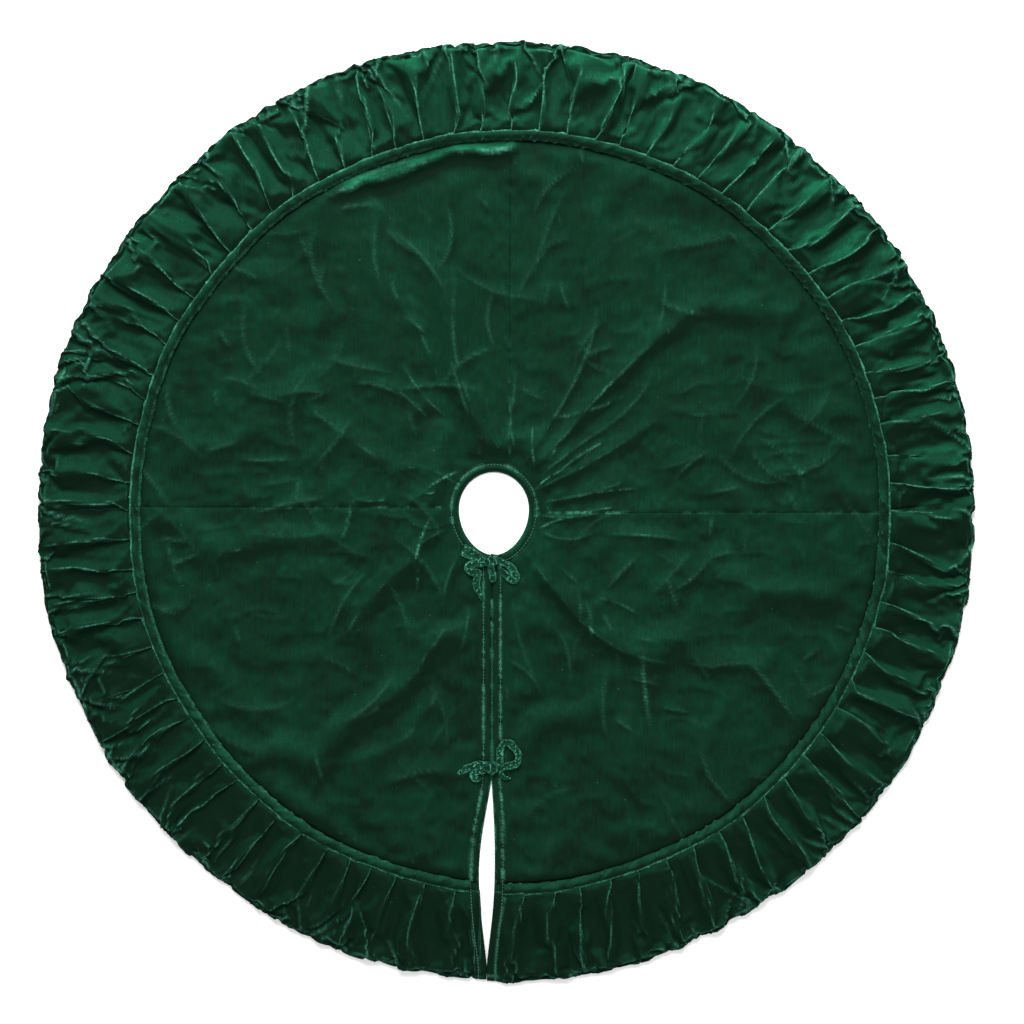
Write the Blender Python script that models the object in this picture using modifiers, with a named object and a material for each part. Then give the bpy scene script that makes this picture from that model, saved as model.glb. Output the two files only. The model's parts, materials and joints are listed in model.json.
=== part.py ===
"""A round velvet tree skirt with a gathered ruffle, a corded piping and two tied bows.

The skirt is modelled as it lies on the floor. The frame is in metres: the origin is on the
floor at the centre of the piped ring, +Z is up, and the slit runs towards -Y. The shell is cut
in four quarters. The skirt folds in half along the two seams on the X axis, so every band that
crosses that line is cut there, and the front half turns about a line at the ruffle's crown.
"""

import math

import bmesh
import bpy
from mathutils import Matrix, Vector

# The main sizes.
SKIRT_R = 0.610
PIPING_R = 0.489
SEAM_GAP = 0.0006
LAYER_GAP = 0.0003
ARC_STEP = math.radians(6)

# The trunk hole is egg-shaped, and it sits a little to the left of the ring's centre.
HOLE_X = -0.021
HOLE_Y = 0.004
HOLE_HALF_WIDTH = 0.0455
HOLE_UP = 0.048
HOLE_DOWN = 0.060

# The slit runs straight to the lower bow. Below that it leans to the left and its edges part,
# and they meet again at the rim.
SLIT_TOP_X = -0.0235
SLIT_RIM_X = -0.0303
SLIT_LEANS_Y = -0.316
SLIT_LEANT_Y = -0.480
SLIT_CLOSED = 0.0004
SLIT_OPEN = 0.0105
SLIT_OPENS_Y = -0.346
SLIT_MEETS_Y = -0.596
SLIT_STEP = 0.024

# The flat layers, from the floor up.
LINING_T = 0.0008
FACING_T = 0.0010
VELVET_T = 0.0020
FACING_Z = LINING_T + LAYER_GAP
VELVET_Z = FACING_Z + FACING_T + LAYER_GAP
VELVET_TOP = VELVET_Z + VELVET_T
LINING_R = 0.598
FACING_W = 0.014
PLACKET_W = 0.0125
HOLE_STITCH = 0.010
SLIT_STITCH = 0.0105
THREAD_R = 0.0004

# The piping is a bias strip folded round a cord, with one flange in the ring seam.
CORD_R = 0.0035
COVER_MID_R = 0.0048
COVER_T = 0.0010
COVER_SIDES = 8
FLANGE_R = 0.474
PIPING_Z = FACING_Z + COVER_T / 2 + COVER_MID_R
PANEL_R = PIPING_R - COVER_MID_R - COVER_T / 2 - 0.0013

# The ruffle is a thin puffed shell, pleated at the piping and turned under at the rim.
RUFFLE_IN_R = PIPING_R + COVER_MID_R + COVER_T / 2 + 0.0022
RUFFLE_T = 0.0016
RUFFLE_CROWN = 0.0225
RUFFLE_LOW_Z = 0.0035
RUFFLE_HEM_R = 0.6005
RUFFLE_HEM_Z = 0.0012
PLEATS_A_QUARTER = 21
PLEAT_HEIGHT = 0.0020
RUFFLE_ROWS = 6
HEM_SHARE = 0.12

# The ties are soft tubes. Each bow has a knot with two stems, and a loop and a tail each side.
TIE_R = 0.0030
STEM_R = 0.0024
TIE_LOW = VELVET_TOP + 2 * LAYER_GAP + 2 * THREAD_R
KNOT_HALF = Vector((0.0072, 0.0060, 0.0058))
KNOT_TURN = 0.13
UPPER_KNOT = Vector((-0.0250, -0.0650))
LOWER_KNOT = Vector((-0.0240, -0.3330))

# The stems and the wings are drawn as offsets from the knot in millimetres. A wing's x runs
# outwards, and a wing stays clear of the line through its root that it lifts about.
UPPER_STEMS = [[(-2, 2), (-9, 7), (-20, 13), (-38, 22)], [(2, 1), (4, 5), (5, 10)]]
LOWER_STEMS = [[(-2.7, 0), (-3, 9)], [(2.7, 0), (3, 9)]]
UPPER_LEFT_WING = [(8.1, -2.5), (18, -1), (28, -5), (31, -13), (25, -21), (15, -20), (11.5, -27), (16, -36), (12, -51)]
UPPER_RIGHT_WING = [(8.1, 1), (15, -5), (26, -15), (33, -25), (29, -32), (22, -29), (15, -20), (11.2, -24), (12, -39)]
LOWER_LEFT_WING = [(8.1, -3), (16, -3.5), (23, -7), (21, -13), (12, -13)]
LOWER_LEFT_TAIL = [(8.1, 4), (18, 5), (30, 1), (44, -8)]
LOWER_RIGHT_LOOP = [(8.1, 1), (11.5, 5), (11, 14), (11.5, 24), (17, 33), (26, 31), (34, 20), (34, 9), (27, 4.5), (19, 3)]
LOWER_RIGHT_WING = LOWER_RIGHT_LOOP + [(14.5, -2), (13, -8), (18, -13), (24, -11)]

VELVET = ("velvet", (0.008, 0.050, 0.028), 0.85)
LINING = ("lining", (0.012, 0.060, 0.035), 0.70)
CORD = ("cord", (0.600, 0.570, 0.500), 0.80)
THREAD = ("thread", (0.020, 0.110, 0.065), 0.60)


def clear_scene():
    for old in list(bpy.data.objects):
        bpy.data.objects.remove(old)


def material(name, colour, roughness):
    """The material of this name, made the first time that it is asked for."""
    made = bpy.data.materials.get(name)
    if made is None:
        made = bpy.data.materials.new(name)
        made.use_nodes = True
        shader = made.node_tree.nodes["Principled BSDF"]
        shader.inputs["Base Color"].default_value = (*colour, 1)
        shader.inputs["Roughness"].default_value = roughness
        shader.inputs["Metallic"].default_value = 0
    return made


def new_object(name, data, look):
    obj = bpy.data.objects.new(name, data)
    skirt.objects.link(obj)
    data.materials.append(material(*look))
    return obj


def spread(start, end, step=ARC_STEP):
    """Values from start to end in equal steps no longer than step."""
    count = max(1, math.ceil(abs(end - start) / step - 1e-9))
    return [start + (end - start) * i / count for i in range(count + 1)]


# The slit and the hole.


def share_of(value, start, end):
    """How far the value is from start to end, held between 0 and 1."""
    return min(1.0, max(0.0, (value - start) / (end - start)))


def slit_edge(side, y, inset=0.0):
    """The x of the slit's left (side -1) or right (side 1) edge, or of a line inset from it."""
    leant = share_of(y, SLIT_LEANS_Y, SLIT_LEANT_Y)
    middle = SLIT_TOP_X + (SLIT_RIM_X - SLIT_TOP_X) * leant**2 * (3 - 2 * leant)
    opened = share_of(y, SLIT_OPENS_Y, SLIT_MEETS_Y)
    half = SLIT_CLOSED + SLIT_OPEN * math.sin(math.pi * opened) ** 1.3
    return middle + side * (half + inset)


def hole_point(angle, grow=0.0):
    """A point of the hole's edge, or of a line outside it by grow."""
    rise = HOLE_UP if math.sin(angle) > 0 else HOLE_DOWN
    x = HOLE_X + (HOLE_HALF_WIDTH + grow) * math.cos(angle)
    return Vector((x, HOLE_Y + (rise + grow) * math.sin(angle)))


def ring_point(radius, angle):
    return Vector((radius * math.cos(angle), radius * math.sin(angle)))


def slit_on_ring(side, radius, inset=0.0):
    """Where the slit's edge crosses a circle about the origin."""
    y = -radius
    for _ in range(8):
        y = -math.sqrt(radius**2 - slit_edge(side, y, inset) ** 2)
    return Vector((slit_edge(side, y, inset), y))


def slit_hole_angle(side, grow, inset=0.0):
    """The angle about the hole where the slit's edge meets it."""
    angle = -math.pi / 2
    for _ in range(8):
        y = hole_point(angle, grow).y
        share = (slit_edge(side, y, inset) - HOLE_X) / (HOLE_HALF_WIDTH + grow)
        angle = -math.acos(share)
    return angle


def slit_line(side, start_y, end_y, inset=0.0):
    """Points along the slit's edge."""
    return [Vector((slit_edge(side, y, inset), y)) for y in spread(start_y, end_y, SLIT_STEP)]


def seam_hole_angle(side, half, grow):
    """The angle about the hole where the seam on the X axis meets it."""
    y = half * SEAM_GAP / 2
    rise = (HOLE_UP if y > HOLE_Y else HOLE_DOWN) + grow
    angle = math.asin((y - HOLE_Y) / rise)
    return angle if side > 0 else math.pi - angle


def hole_arc(side, half, grow):
    """The part of the hole's edge that belongs to one quarter, from the X axis on."""
    start = seam_hole_angle(side, half, grow)
    if half > 0:
        share = (side * SEAM_GAP / 2 - HOLE_X) / (HOLE_HALF_WIDTH + grow)
        end = math.acos(share)
    else:
        end = slit_hole_angle(side, grow)
        if side < 0:
            end += 2 * math.pi
    return [hole_point(a, grow) for a in spread(start, end, 2 * ARC_STEP)]


def ring_arc(side, half, radius):
    """The part of a circle that belongs to one quarter, from the X axis on."""
    away = math.asin(SEAM_GAP / 2 / radius)
    start = half * away if side > 0 else math.pi - half * away
    if half > 0:
        end = math.pi / 2 - side * away
    else:
        corner = slit_on_ring(side, radius)
        end = math.atan2(corner.y, corner.x)
        if side < 0:
            end += 2 * math.pi
    return [ring_point(radius, a) for a in spread(start, end)]


def quarter_outline(side, half, grow, radius):
    """A quarter of the round, between the hole and a circle, the X axis and the seam or slit."""
    inner, outer = hole_arc(side, half, grow), ring_arc(side, half, radius)
    edge = []
    if half < 0:
        edge = slit_line(side, outer[-1].y, inner[-1].y)[1:-1]
    return outer + edge + inner[::-1]


# Flat cloth.


def flat_piece(name, outline, low, thickness, look):
    """A flat layer of cloth with this outline and its underside at low."""
    curve = bpy.data.curves.new(name, "CURVE")
    curve.dimensions = "2D"
    curve.fill_mode = "BOTH"
    curve.extrude = thickness / 2
    spline = curve.splines.new("POLY")
    spline.points.add(len(outline) - 1)
    for point, corner in zip(spline.points, outline):
        point.co = (corner.x, corner.y, 0, 1)
    spline.use_cyclic_u = True
    obj = new_object(name, curve, look)
    obj.location.z = low + thickness / 2
    return obj


def make_quarters():
    for half, half_name in ((1, "back"), (-1, "front")):
        for side, side_name in ((-1, "left"), (1, "right")):
            where = f"{half_name}_{side_name}"
            panel = quarter_outline(side, half, 0.0, PANEL_R)
            flat_piece(f"panel_{where}", panel, VELVET_Z, VELVET_T, VELVET)
            under = quarter_outline(side, half, 0.001, LINING_R)
            flat_piece(f"lining_{where}", under, 0.0, LINING_T, LINING)


def make_hole_facing():
    """The bias strip that is stitched under the velvet round the hole."""
    inner, outer = hole_arc(1, 1, 0.0), hole_arc(1, 1, FACING_W)
    inner += hole_arc(-1, 1, 0.0)[::-1]
    outer += hole_arc(-1, 1, FACING_W)[::-1]
    flat_piece("hole_facing_back", outer + inner[::-1], FACING_Z, FACING_T, VELVET)
    for side, side_name in ((-1, "left"), (1, "right")):
        outline = hole_arc(side, -1, FACING_W) + hole_arc(side, -1, 0.0)[::-1]
        name = f"hole_facing_front_{side_name}"
        flat_piece(name, outline, FACING_Z, FACING_T, VELVET)


def make_plackets():
    """The strips that hem the slit's two edges, from the hole facing out to the rim."""
    top_grow = FACING_W + LAYER_GAP
    for side, side_name in ((-1, "left"), (1, "right")):
        lines = []
        for inset in (0.0, PLACKET_W):
            top = hole_point(slit_hole_angle(side, top_grow, inset), top_grow)
            low = slit_on_ring(side, LINING_R, inset)
            lines.append(slit_line(side, top.y, low.y, inset))
        outline = lines[0] + lines[1][::-1]
        flat_piece(f"placket_{side_name}", outline, FACING_Z, FACING_T, VELVET)


# Round and revolved pieces.


def tube(name, points, radius, look, resolution=0):
    """A solid of this radius along these points, square in section at resolution 0."""
    curve = bpy.data.curves.new(name, "CURVE")
    curve.dimensions = "3D"
    curve.bevel_depth = radius
    curve.bevel_resolution = resolution
    curve.use_fill_caps = True
    spline = curve.splines.new("POLY")
    spline.points.add(len(points) - 1)
    for point, place in zip(spline.points, points):
        point.co = (*place, 1)
    return new_object(name, curve, look)


def piping_cover(name, start, end):
    """The bias strip: a flange in the seam, then a turn round the cord, revolved about +Z."""
    profile = [Vector((FLANGE_R, 0, PIPING_Z - COVER_MID_R))]
    turn = math.radians(300)
    first = math.radians(-90)
    for i in range(COVER_SIDES + 1):
        angle = first + turn * i / COVER_SIDES
        out = PIPING_R + COVER_MID_R * math.cos(angle)
        profile.append(Vector((out, 0, PIPING_Z + COVER_MID_R * math.sin(angle))))
    mesh = bpy.data.meshes.new(name)
    edges = [(i, i + 1) for i in range(len(profile) - 1)]
    mesh.from_pydata(profile, edges, [])
    obj = new_object(name, mesh, VELVET)
    obj.rotation_euler.z = start
    screw = obj.modifiers.new("revolve", "SCREW")
    screw.axis = "Z"
    screw.angle = end - start
    screw.steps = screw.render_steps = len(spread(start, end)) - 1
    shell = obj.modifiers.new("cloth", "SOLIDIFY")
    shell.thickness = COVER_T
    shell.offset = 0
    return obj


def make_piping():
    """The piping stops at the hems of the slit, where it is turned under."""
    seam = math.asin(SEAM_GAP / 2 / PIPING_R)
    ends = {}
    for side in (-1, 1):
        hem = slit_on_ring(side, PIPING_R, PLACKET_W + 0.002)
        ends[side] = math.atan2(hem.y, hem.x)
    arcs = {
        "back": (seam, math.pi - seam),
        "front_left": (math.pi + seam, ends[-1] + 2 * math.pi),
        "front_right": (ends[1], -seam),
    }
    for where, (start, end) in arcs.items():
        piping_cover(f"piping_cover_{where}", start, end)
        points = [ring_point(PIPING_R, a).to_3d() for a in spread(start, end)]
        for point in points:
            point.z = PIPING_Z
        tube(f"piping_cord_{where}", points, CORD_R, CORD, 1)


def stitch_line(name, points):
    """A line of topstitching, as one thread lying on the velvet."""
    height = VELVET_TOP + LAYER_GAP + THREAD_R
    tube(name, [(p.x, p.y, height) for p in points], THREAD_R, THREAD)


def make_topstitching():
    back = hole_arc(1, 1, HOLE_STITCH) + hole_arc(-1, 1, HOLE_STITCH)[::-1]
    stitch_line("topstitch_hole_back", back)
    for side, side_name in ((-1, "left"), (1, "right")):
        around = [p for p in hole_arc(side, -1, HOLE_STITCH) if side * (p.x - SLIT_TOP_X) > SLIT_STITCH]
        stitch_line(f"topstitch_hole_front_{side_name}", around)
        grow = HOLE_STITCH + 0.002
        top = hole_point(slit_hole_angle(side, grow, SLIT_STITCH), grow)
        low = slit_on_ring(side, PANEL_R - 0.002, SLIT_STITCH)
        line = slit_line(side, top.y, low.y, SLIT_STITCH)
        stitch_line(f"topstitch_slit_{side_name}", line)


# The ruffle.


def ruffle_profile(share, lift):
    """Radius and height across the ruffle, from the piping over the crown to the hem."""
    if share > 1 - HEM_SHARE:
        under = (share - 1 + HEM_SHARE) / HEM_SHARE
        radius = SKIRT_R + (RUFFLE_HEM_R - SKIRT_R) * under
        return radius, RUFFLE_LOW_Z + (RUFFLE_HEM_Z - RUFFLE_LOW_Z) * under
    turn = math.pi * share / (1 - HEM_SHARE)
    middle = (RUFFLE_IN_R + SKIRT_R) / 2
    radius = middle - (SKIRT_R - RUFFLE_IN_R) / 2 * math.cos(turn)
    puff = max(0.0, math.sin(turn))
    return radius, RUFFLE_LOW_Z + (RUFFLE_CROWN - RUFFLE_LOW_Z) * puff**0.7 + lift * puff


def ruffle_ends(side, half, radius):
    """The angles at which a quarter of the ruffle starts and ends, at this radius."""
    away = math.asin(SEAM_GAP / 2 / radius)
    if half > 0:
        return (away, math.pi / 2 - away) if side > 0 else (math.pi / 2 + away, math.pi - away)
    corner = slit_on_ring(side, radius, LAYER_GAP)
    slit = math.atan2(corner.y, corner.x)
    return (slit, -away) if side > 0 else (math.pi + away, slit + 2 * math.pi)


def ruffle_piece(name, side, half):
    """A strip of the grid, bent round the ring, with a crest and a valley for each pleat."""
    columns = 2 * PLEATS_A_QUARTER
    form = bmesh.new()
    bmesh.ops.create_grid(form, x_segments=columns, y_segments=RUFFLE_ROWS, size=1)
    for vert in form.verts:
        column = round((vert.co.x + 1) / 2 * columns)
        share = (vert.co.y + 1) / 2
        lift = PLEAT_HEIGHT if column % 2 else -PLEAT_HEIGHT
        radius, height = ruffle_profile(share, lift)
        start, end = ruffle_ends(side, half, radius)
        place = ring_point(radius, start + (end - start) * column / columns)
        vert.co = (place.x, place.y, height)
    bmesh.ops.recalc_face_normals(form, faces=form.faces)
    mesh = bpy.data.meshes.new(name)
    form.to_mesh(mesh)
    form.free()
    obj = new_object(name, mesh, VELVET)
    shell = obj.modifiers.new("cloth", "SOLIDIFY")
    shell.thickness = RUFFLE_T
    shell.offset = 0
    return obj


def make_ruffle():
    for half, half_name in ((1, "back"), (-1, "front")):
        for side, side_name in ((-1, "left"), (1, "right")):
            ruffle_piece(f"ruffle_{half_name}_{side_name}", side, half)


# The bows.


def smooth(points, each=3):
    """A Catmull-Rom curve through these points, with each new points in every span."""
    ends = [2 * points[0] - points[1], *points, 2 * points[-1] - points[-2]]
    made = []
    for a, b, c, d in zip(ends, ends[1:], ends[2:], ends[3:]):
        for i in range(each):
            t = i / each
            made.append(
                0.5 * (2 * b + (c - a) * t + (2 * a - 5 * b + 4 * c - d) * t**2 + (3 * b - a - 3 * c + d) * t**3)
            )
    return made + [points[-1]]


def tie_path(knot, side, outline, radius):
    """A smooth path for a tie of this radius that lies on the velvet's stitching."""
    points = [Vector((knot.x + side * x / 1000, knot.y + y / 1000, TIE_LOW + radius)) for x, y in outline]
    return smooth(points)


def as_mesh(curve_object):
    """The curve object as a mesh object of the same name, with its caps welded."""
    bpy.context.view_layer.update()
    graph = bpy.context.evaluated_depsgraph_get()
    mesh = bpy.data.meshes.new_from_object(curve_object.evaluated_get(graph))
    form = bmesh.new()
    form.from_mesh(mesh)
    bmesh.ops.remove_doubles(form, verts=form.verts, dist=1e-6)
    bmesh.ops.recalc_face_normals(form, faces=form.faces)
    form.to_mesh(mesh)
    form.free()
    name, place = curve_object.name, curve_object.matrix_world.copy()
    bpy.data.objects.remove(curve_object)
    obj = bpy.data.objects.new(name, mesh)
    skirt.objects.link(obj)
    obj.matrix_world = place
    return obj


def join(target, helper):
    """Adds the helper's shape to the target and puts the helper with the cutters."""
    skirt.objects.unlink(helper)
    cutters.objects.link(helper)
    helper.hide_render = True
    helper.display_type = "WIRE"
    union = target.modifiers.new("join", "BOOLEAN")
    union.operation = "UNION"
    union.object = helper


def make_knot(name, knot, stems):
    """The tied middle of a bow, with the stem of each tie running to where it is sewn on."""
    mesh = bpy.data.meshes.new(name)
    form = bmesh.new()
    bmesh.ops.create_uvsphere(form, u_segments=12, v_segments=8, radius=1)
    bmesh.ops.scale(form, vec=KNOT_HALF, verts=form.verts)
    bmesh.ops.rotate(form, cent=(0, 0, 0), matrix=Matrix.Rotation(KNOT_TURN, 3, "Z"), verts=form.verts)
    form.to_mesh(mesh)
    form.free()
    obj = new_object(name, mesh, VELVET)
    obj.location = (knot.x, knot.y, TIE_LOW + KNOT_HALF.z)
    for number, stem in enumerate(stems):
        path = tie_path(knot, 1, stem, STEM_R)
        join(obj, as_mesh(tube(f"{name}_stem_{number}", path, STEM_R, VELVET, 1)))


def make_wing(name, knot, side, outline):
    tube(name, tie_path(knot, side, outline, TIE_R), TIE_R, VELVET, 1)


def make_bows():
    make_knot("knot_upper", UPPER_KNOT, UPPER_STEMS)
    make_wing("tie_upper_left", UPPER_KNOT, -1, UPPER_LEFT_WING)
    make_wing("tie_upper_right", UPPER_KNOT, 1, UPPER_RIGHT_WING)
    make_knot("knot_lower", LOWER_KNOT, LOWER_STEMS)
    make_wing("tie_lower_left", LOWER_KNOT, -1, LOWER_LEFT_WING)
    make_wing("tie_tail_lower_left", LOWER_KNOT, -1, LOWER_LEFT_TAIL)
    make_wing("tie_lower_right", LOWER_KNOT, 1, LOWER_RIGHT_WING)


clear_scene()
skirt = bpy.data.collections.new("tree_skirt")
bpy.context.scene.collection.children.link(skirt)
cutters = bpy.data.collections.new("cutters")
bpy.context.scene.collection.children.link(cutters)
make_quarters()
make_hole_facing()
make_plackets()
make_piping()
make_topstitching()
make_ruffle()
make_bows()
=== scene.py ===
"""The looks of a ruffled velvet tree skirt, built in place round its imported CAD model."""

import json
import math

import bmesh
import bpy
import numpy as np
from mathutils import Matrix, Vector


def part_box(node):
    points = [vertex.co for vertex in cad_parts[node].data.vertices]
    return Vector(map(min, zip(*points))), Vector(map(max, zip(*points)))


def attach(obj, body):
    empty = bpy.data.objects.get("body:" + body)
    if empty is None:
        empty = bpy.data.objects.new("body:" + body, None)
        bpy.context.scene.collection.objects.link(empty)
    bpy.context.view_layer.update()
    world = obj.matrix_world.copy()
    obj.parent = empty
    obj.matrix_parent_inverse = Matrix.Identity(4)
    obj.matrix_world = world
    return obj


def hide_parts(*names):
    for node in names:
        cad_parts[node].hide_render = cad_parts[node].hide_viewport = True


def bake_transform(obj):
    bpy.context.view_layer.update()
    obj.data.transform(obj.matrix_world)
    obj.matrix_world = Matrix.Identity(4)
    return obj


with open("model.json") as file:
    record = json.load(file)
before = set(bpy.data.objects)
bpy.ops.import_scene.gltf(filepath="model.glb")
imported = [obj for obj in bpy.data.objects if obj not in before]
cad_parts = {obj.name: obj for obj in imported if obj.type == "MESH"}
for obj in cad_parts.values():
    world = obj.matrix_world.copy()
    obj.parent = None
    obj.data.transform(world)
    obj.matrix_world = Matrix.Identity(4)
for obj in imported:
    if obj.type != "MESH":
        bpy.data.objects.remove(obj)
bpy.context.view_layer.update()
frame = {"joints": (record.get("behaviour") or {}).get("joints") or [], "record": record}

MM = 0.001

# Sizes that the CAD model gives.
SKIRT_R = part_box("ruffle_back_right")[1].x
PANEL_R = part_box("panel_back_right")[1].x
LINING_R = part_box("lining_back_right")[1].x
CORD_LOW, CORD_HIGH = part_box("piping_cord_back")
PIPING_R = CORD_HIGH.x - (CORD_HIGH.z - CORD_LOW.z) / 2
PIPING_Z = (CORD_HIGH.z + CORD_LOW.z) / 2
RUFFLE_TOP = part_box("ruffle_back_right")[1].z
VELVET_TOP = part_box("panel_back_right")[1].z
FACING_LOW, FACING_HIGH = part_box("hole_facing_back")
FACING_FRONT_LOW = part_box("hole_facing_front_right")[0]
HOLE_LOW, HOLE_HIGH = (Vector(corner) for corner in frame["record"]["physics"]["openings"][0]["box_m"])
LIFTS = {joint["child"]: Vector(joint["pos_m"]) for joint in frame["joints"]}

# The hole, an egg whose lower half is drawn down towards the slit.
FACING_W = 14 * MM
HOLE = (HOLE_LOW + HOLE_HIGH) / 2
HOLE_HALF_WIDTH = (FACING_HIGH.x - FACING_LOW.x) / 2 - FACING_W
HOLE_UP = FACING_HIGH.y - HOLE.y - FACING_W
HOLE_DOWN = HOLE.y - FACING_FRONT_LOW.y - FACING_W
HOLE_POINTED = 0.09
HOLE_LEVEL = math.asin(-HOLE.y / HOLE_UP)

# The slit, which leans to the left and gapes below the lower bow.
SLIT_TOP_X = -23.5 * MM
SLIT_RIM_X = -30.3 * MM
SLIT_LEANS = (-0.316, -0.480)
SLIT_GAPES = (-0.346, -0.592)
SLIT_GAPE = 10.2 * MM
SLIT_STITCH = 11 * MM
HOLE_STITCH = 10 * MM
STITCH_PITCH = 4.2 * MM
STITCH_HALF = 0.6 * MM

# Thicknesses of cloth, and how finely the disc and its lining are divided round and out.
VELVET_T = 1.2 * MM
STRIP_T = 0.8 * MM
LINING_T = 0.6 * MM
PLACKET_W = 12.5 * MM
VELVET_LOW = VELVET_TOP - 2 * MM
PANEL_GRID = (210, 118)
LINING_GRID = (76, 66)
LINING_SEAM_R = 0.587
TUBE_SIDES = 18

# The seams beside the hole are not quite on the X axis.
SEAM_Y = {-1: 6.5 * MM, 1: -1.0 * MM}
QUARTERS = {"front_right": (1, -1), "back_right": (1, 1), "back_left": (-1, 1), "front_left": (-1, -1)}

# The ruffle.
PLEATS = 21
PLEAT_STEPS = 22
FOLD_AT = 0.70
RUFFLE_ROWS = 46
HEM_ROWS = 4
SIM_STEPS = 9
SIM_ROWS = 24
DISC_GROWTH = 0.006
RUFFLE_GROWTH = 0.12
RIM_STITCH = 7 * MM
RIM_BULGE = 25 * MM
RUFFLE_IN_R = PIPING_R + 4.5 * MM
HEM_R = LINING_R + 2 * MM
RUFFLE_EDGE_Z = 4 * MM
RUFFLE_CROWN = RUFFLE_TOP - 8 * MM

# The ties' outlines are offsets from their knot in millimetres. A wing's x runs outwards.
KNOTS = {
    high: (LIFTS[f"{high}_left_tie"] + LIFTS[f"{high}_right_tie"]) / 2
    for high in ("upper", "lower")
}
TIE_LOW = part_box("tie_upper_left")[0].z
TIE_R = (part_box("tie_upper_left")[1].z - TIE_LOW) / 2
STEM_R = 2.5 * MM
UPPER_STEMS = [
    (1.8, [(-2, 1), (-10, 4), (-22, 9), (-37, 16)]),
    (1.0, [(2, 1), (4, 5), (5, 10)]),
    (0.6, [(1, -1), (0, -8), (2, -17), (3, -26)]),
]
LOWER_STEMS = [(1.0, [(-2.7, 0), (-3, 9)]), (1.0, [(2.7, 0), (3, 9)])]
TIES = {
    "upper_left": ("upper", -1, "tie_upper_left", [
        (6, -1), (8.1, -2), (18, -2), (27, -4), (30, -9),
        (25, -13), (17, -14), (18, -22), (18, -34), (10, -50),
    ]),
    "upper_right": ("upper", 1, "tie_upper_right", [
        (6, 0), (8.1, 2), (17, -1), (27, -8.5), (33, -18), (31, -23.5), (24, -20.5), (16, -12.5), (9, -5),
    ]),
    "lower_left": ("lower", -1, "tie_lower_left", [
        (6, -1), (8.1, -3), (16, -3.5), (23, -7), (21, -13), (12, -13),
    ]),
    "lower_left_tail": ("lower", -1, "tie_tail_lower_left", [(6, 2), (8.1, 4), (18, 5), (30, 1), (44, -8)]),
    "lower_right": ("lower", 1, "tie_lower_right", [
        (6, 0), (8.1, 1), (11.5, 5), (11, 14), (11.5, 24), (17, 33), (26, 31), (34, 20),
        (34, 9), (27, 4.5), (19, 3), (14.5, -2), (13, -8), (18, -13), (24, -11),
    ]),
}


# Small helpers.


def smoothstep(value, start, end):
    share = np.clip((value - start) / (end - start), 0, 1)
    return share * share * (3 - 2 * share)


def mix(a, b, share):
    return a + (b - a) * share


def noise(x, y, size, seed, period=None):
    """Smooth noise from -1 to 1 with features of this size. It repeats after period cells in x."""
    lattice = np.random.default_rng(seed).uniform(-1, 1, (256, 256))
    cells = period or 256
    x, y = np.asarray(x) / size, np.asarray(y) / size
    column, row = np.floor(x).astype(int), np.floor(y).astype(int)
    u, v = x - column, y - row
    u, v = u * u * u * (u * (6 * u - 15) + 10), v * v * v * (v * (6 * v - 15) + 10)
    a, b = column % cells, (column + 1) % cells
    c, d = row % 256, (row + 1) % 256
    return mix(mix(lattice[a, c], lattice[b, c], u), mix(lattice[a, d], lattice[b, d], u), v)


def wave(along, size, seed):
    """The same noise along a line."""
    return noise(along, along * 0, size, seed)


def fractal(x, y, size, seed, layers=3):
    """Layers of noise, each half the size and half the strength of the one before."""
    return sum(noise(x, y, size / 2**i, seed + i) / 2**i for i in range(layers)) / (2 - 2 ** (1 - layers))


def bell(off, width):
    """1 in the middle, falling off smoothly over this width to both sides."""
    return np.exp(-((off / width) ** 2))


def ridge(off, left, right, soft=2 * MM):
    """A fold's height across it: 1 on its crest, falling off over left and right."""
    return np.exp((soft - np.hypot(off, soft)) / np.where(off > 0, left, right))


def cubic(field, u, v):
    """Smooth values between the points of a grid, at the fractional places u and v."""
    rows, columns = field.shape[:2]
    u, v = np.clip(u, 0, rows - 1.001), np.clip(v, 0, columns - 1.001)
    i, j = np.floor(u).astype(int), np.floor(v).astype(int)
    total = 0
    for a, across in enumerate(cubic_weights(u - i)):
        for b, along in enumerate(cubic_weights(v - j)):
            corner = field[np.clip(i + a - 1, 0, rows - 1), np.clip(j + b - 1, 0, columns - 1)]
            total = total + (across * along)[..., None] * corner
    return total


def cubic_weights(t):
    return (
        (2 * t**2 - t - t**3) / 2,
        (2 - 5 * t**2 + 3 * t**3) / 2,
        (t + 4 * t**2 - 3 * t**3) / 2,
        (t**3 - t**2) / 2,
    )


# The slit and the hole.


def slit_edge(side, y, inset=0.0):
    """The x of the slit's left (side -1) or right (side 1) edge, or of a line inset from it."""
    middle = mix(SLIT_TOP_X, SLIT_RIM_X, smoothstep(y, *SLIT_LEANS))
    share = np.clip((y - SLIT_GAPES[0]) / (SLIT_GAPES[1] - SLIT_GAPES[0]), 0, 1)
    half = SLIT_GAPE * np.sin(math.pi * share) ** 1.2
    return middle + side * (half + inset)


def hole_narrows(sine):
    """The hole's width narrows towards the slit, which makes its lower end pointed."""
    return 1 - HOLE_POINTED * np.clip(-sine, 0, 1) ** 2.2


def hole_point(angle, grow=0.0):
    """Points of the hole's edge, or of a line outside it by grow."""
    sine = np.sin(angle)
    rise = np.where(sine > 0, HOLE_UP, HOLE_DOWN) + grow
    x = HOLE.x + (HOLE_HALF_WIDTH * hole_narrows(sine) + grow) * np.cos(angle)
    return np.stack([x, HOLE.y + rise * sine], -1)


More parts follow.
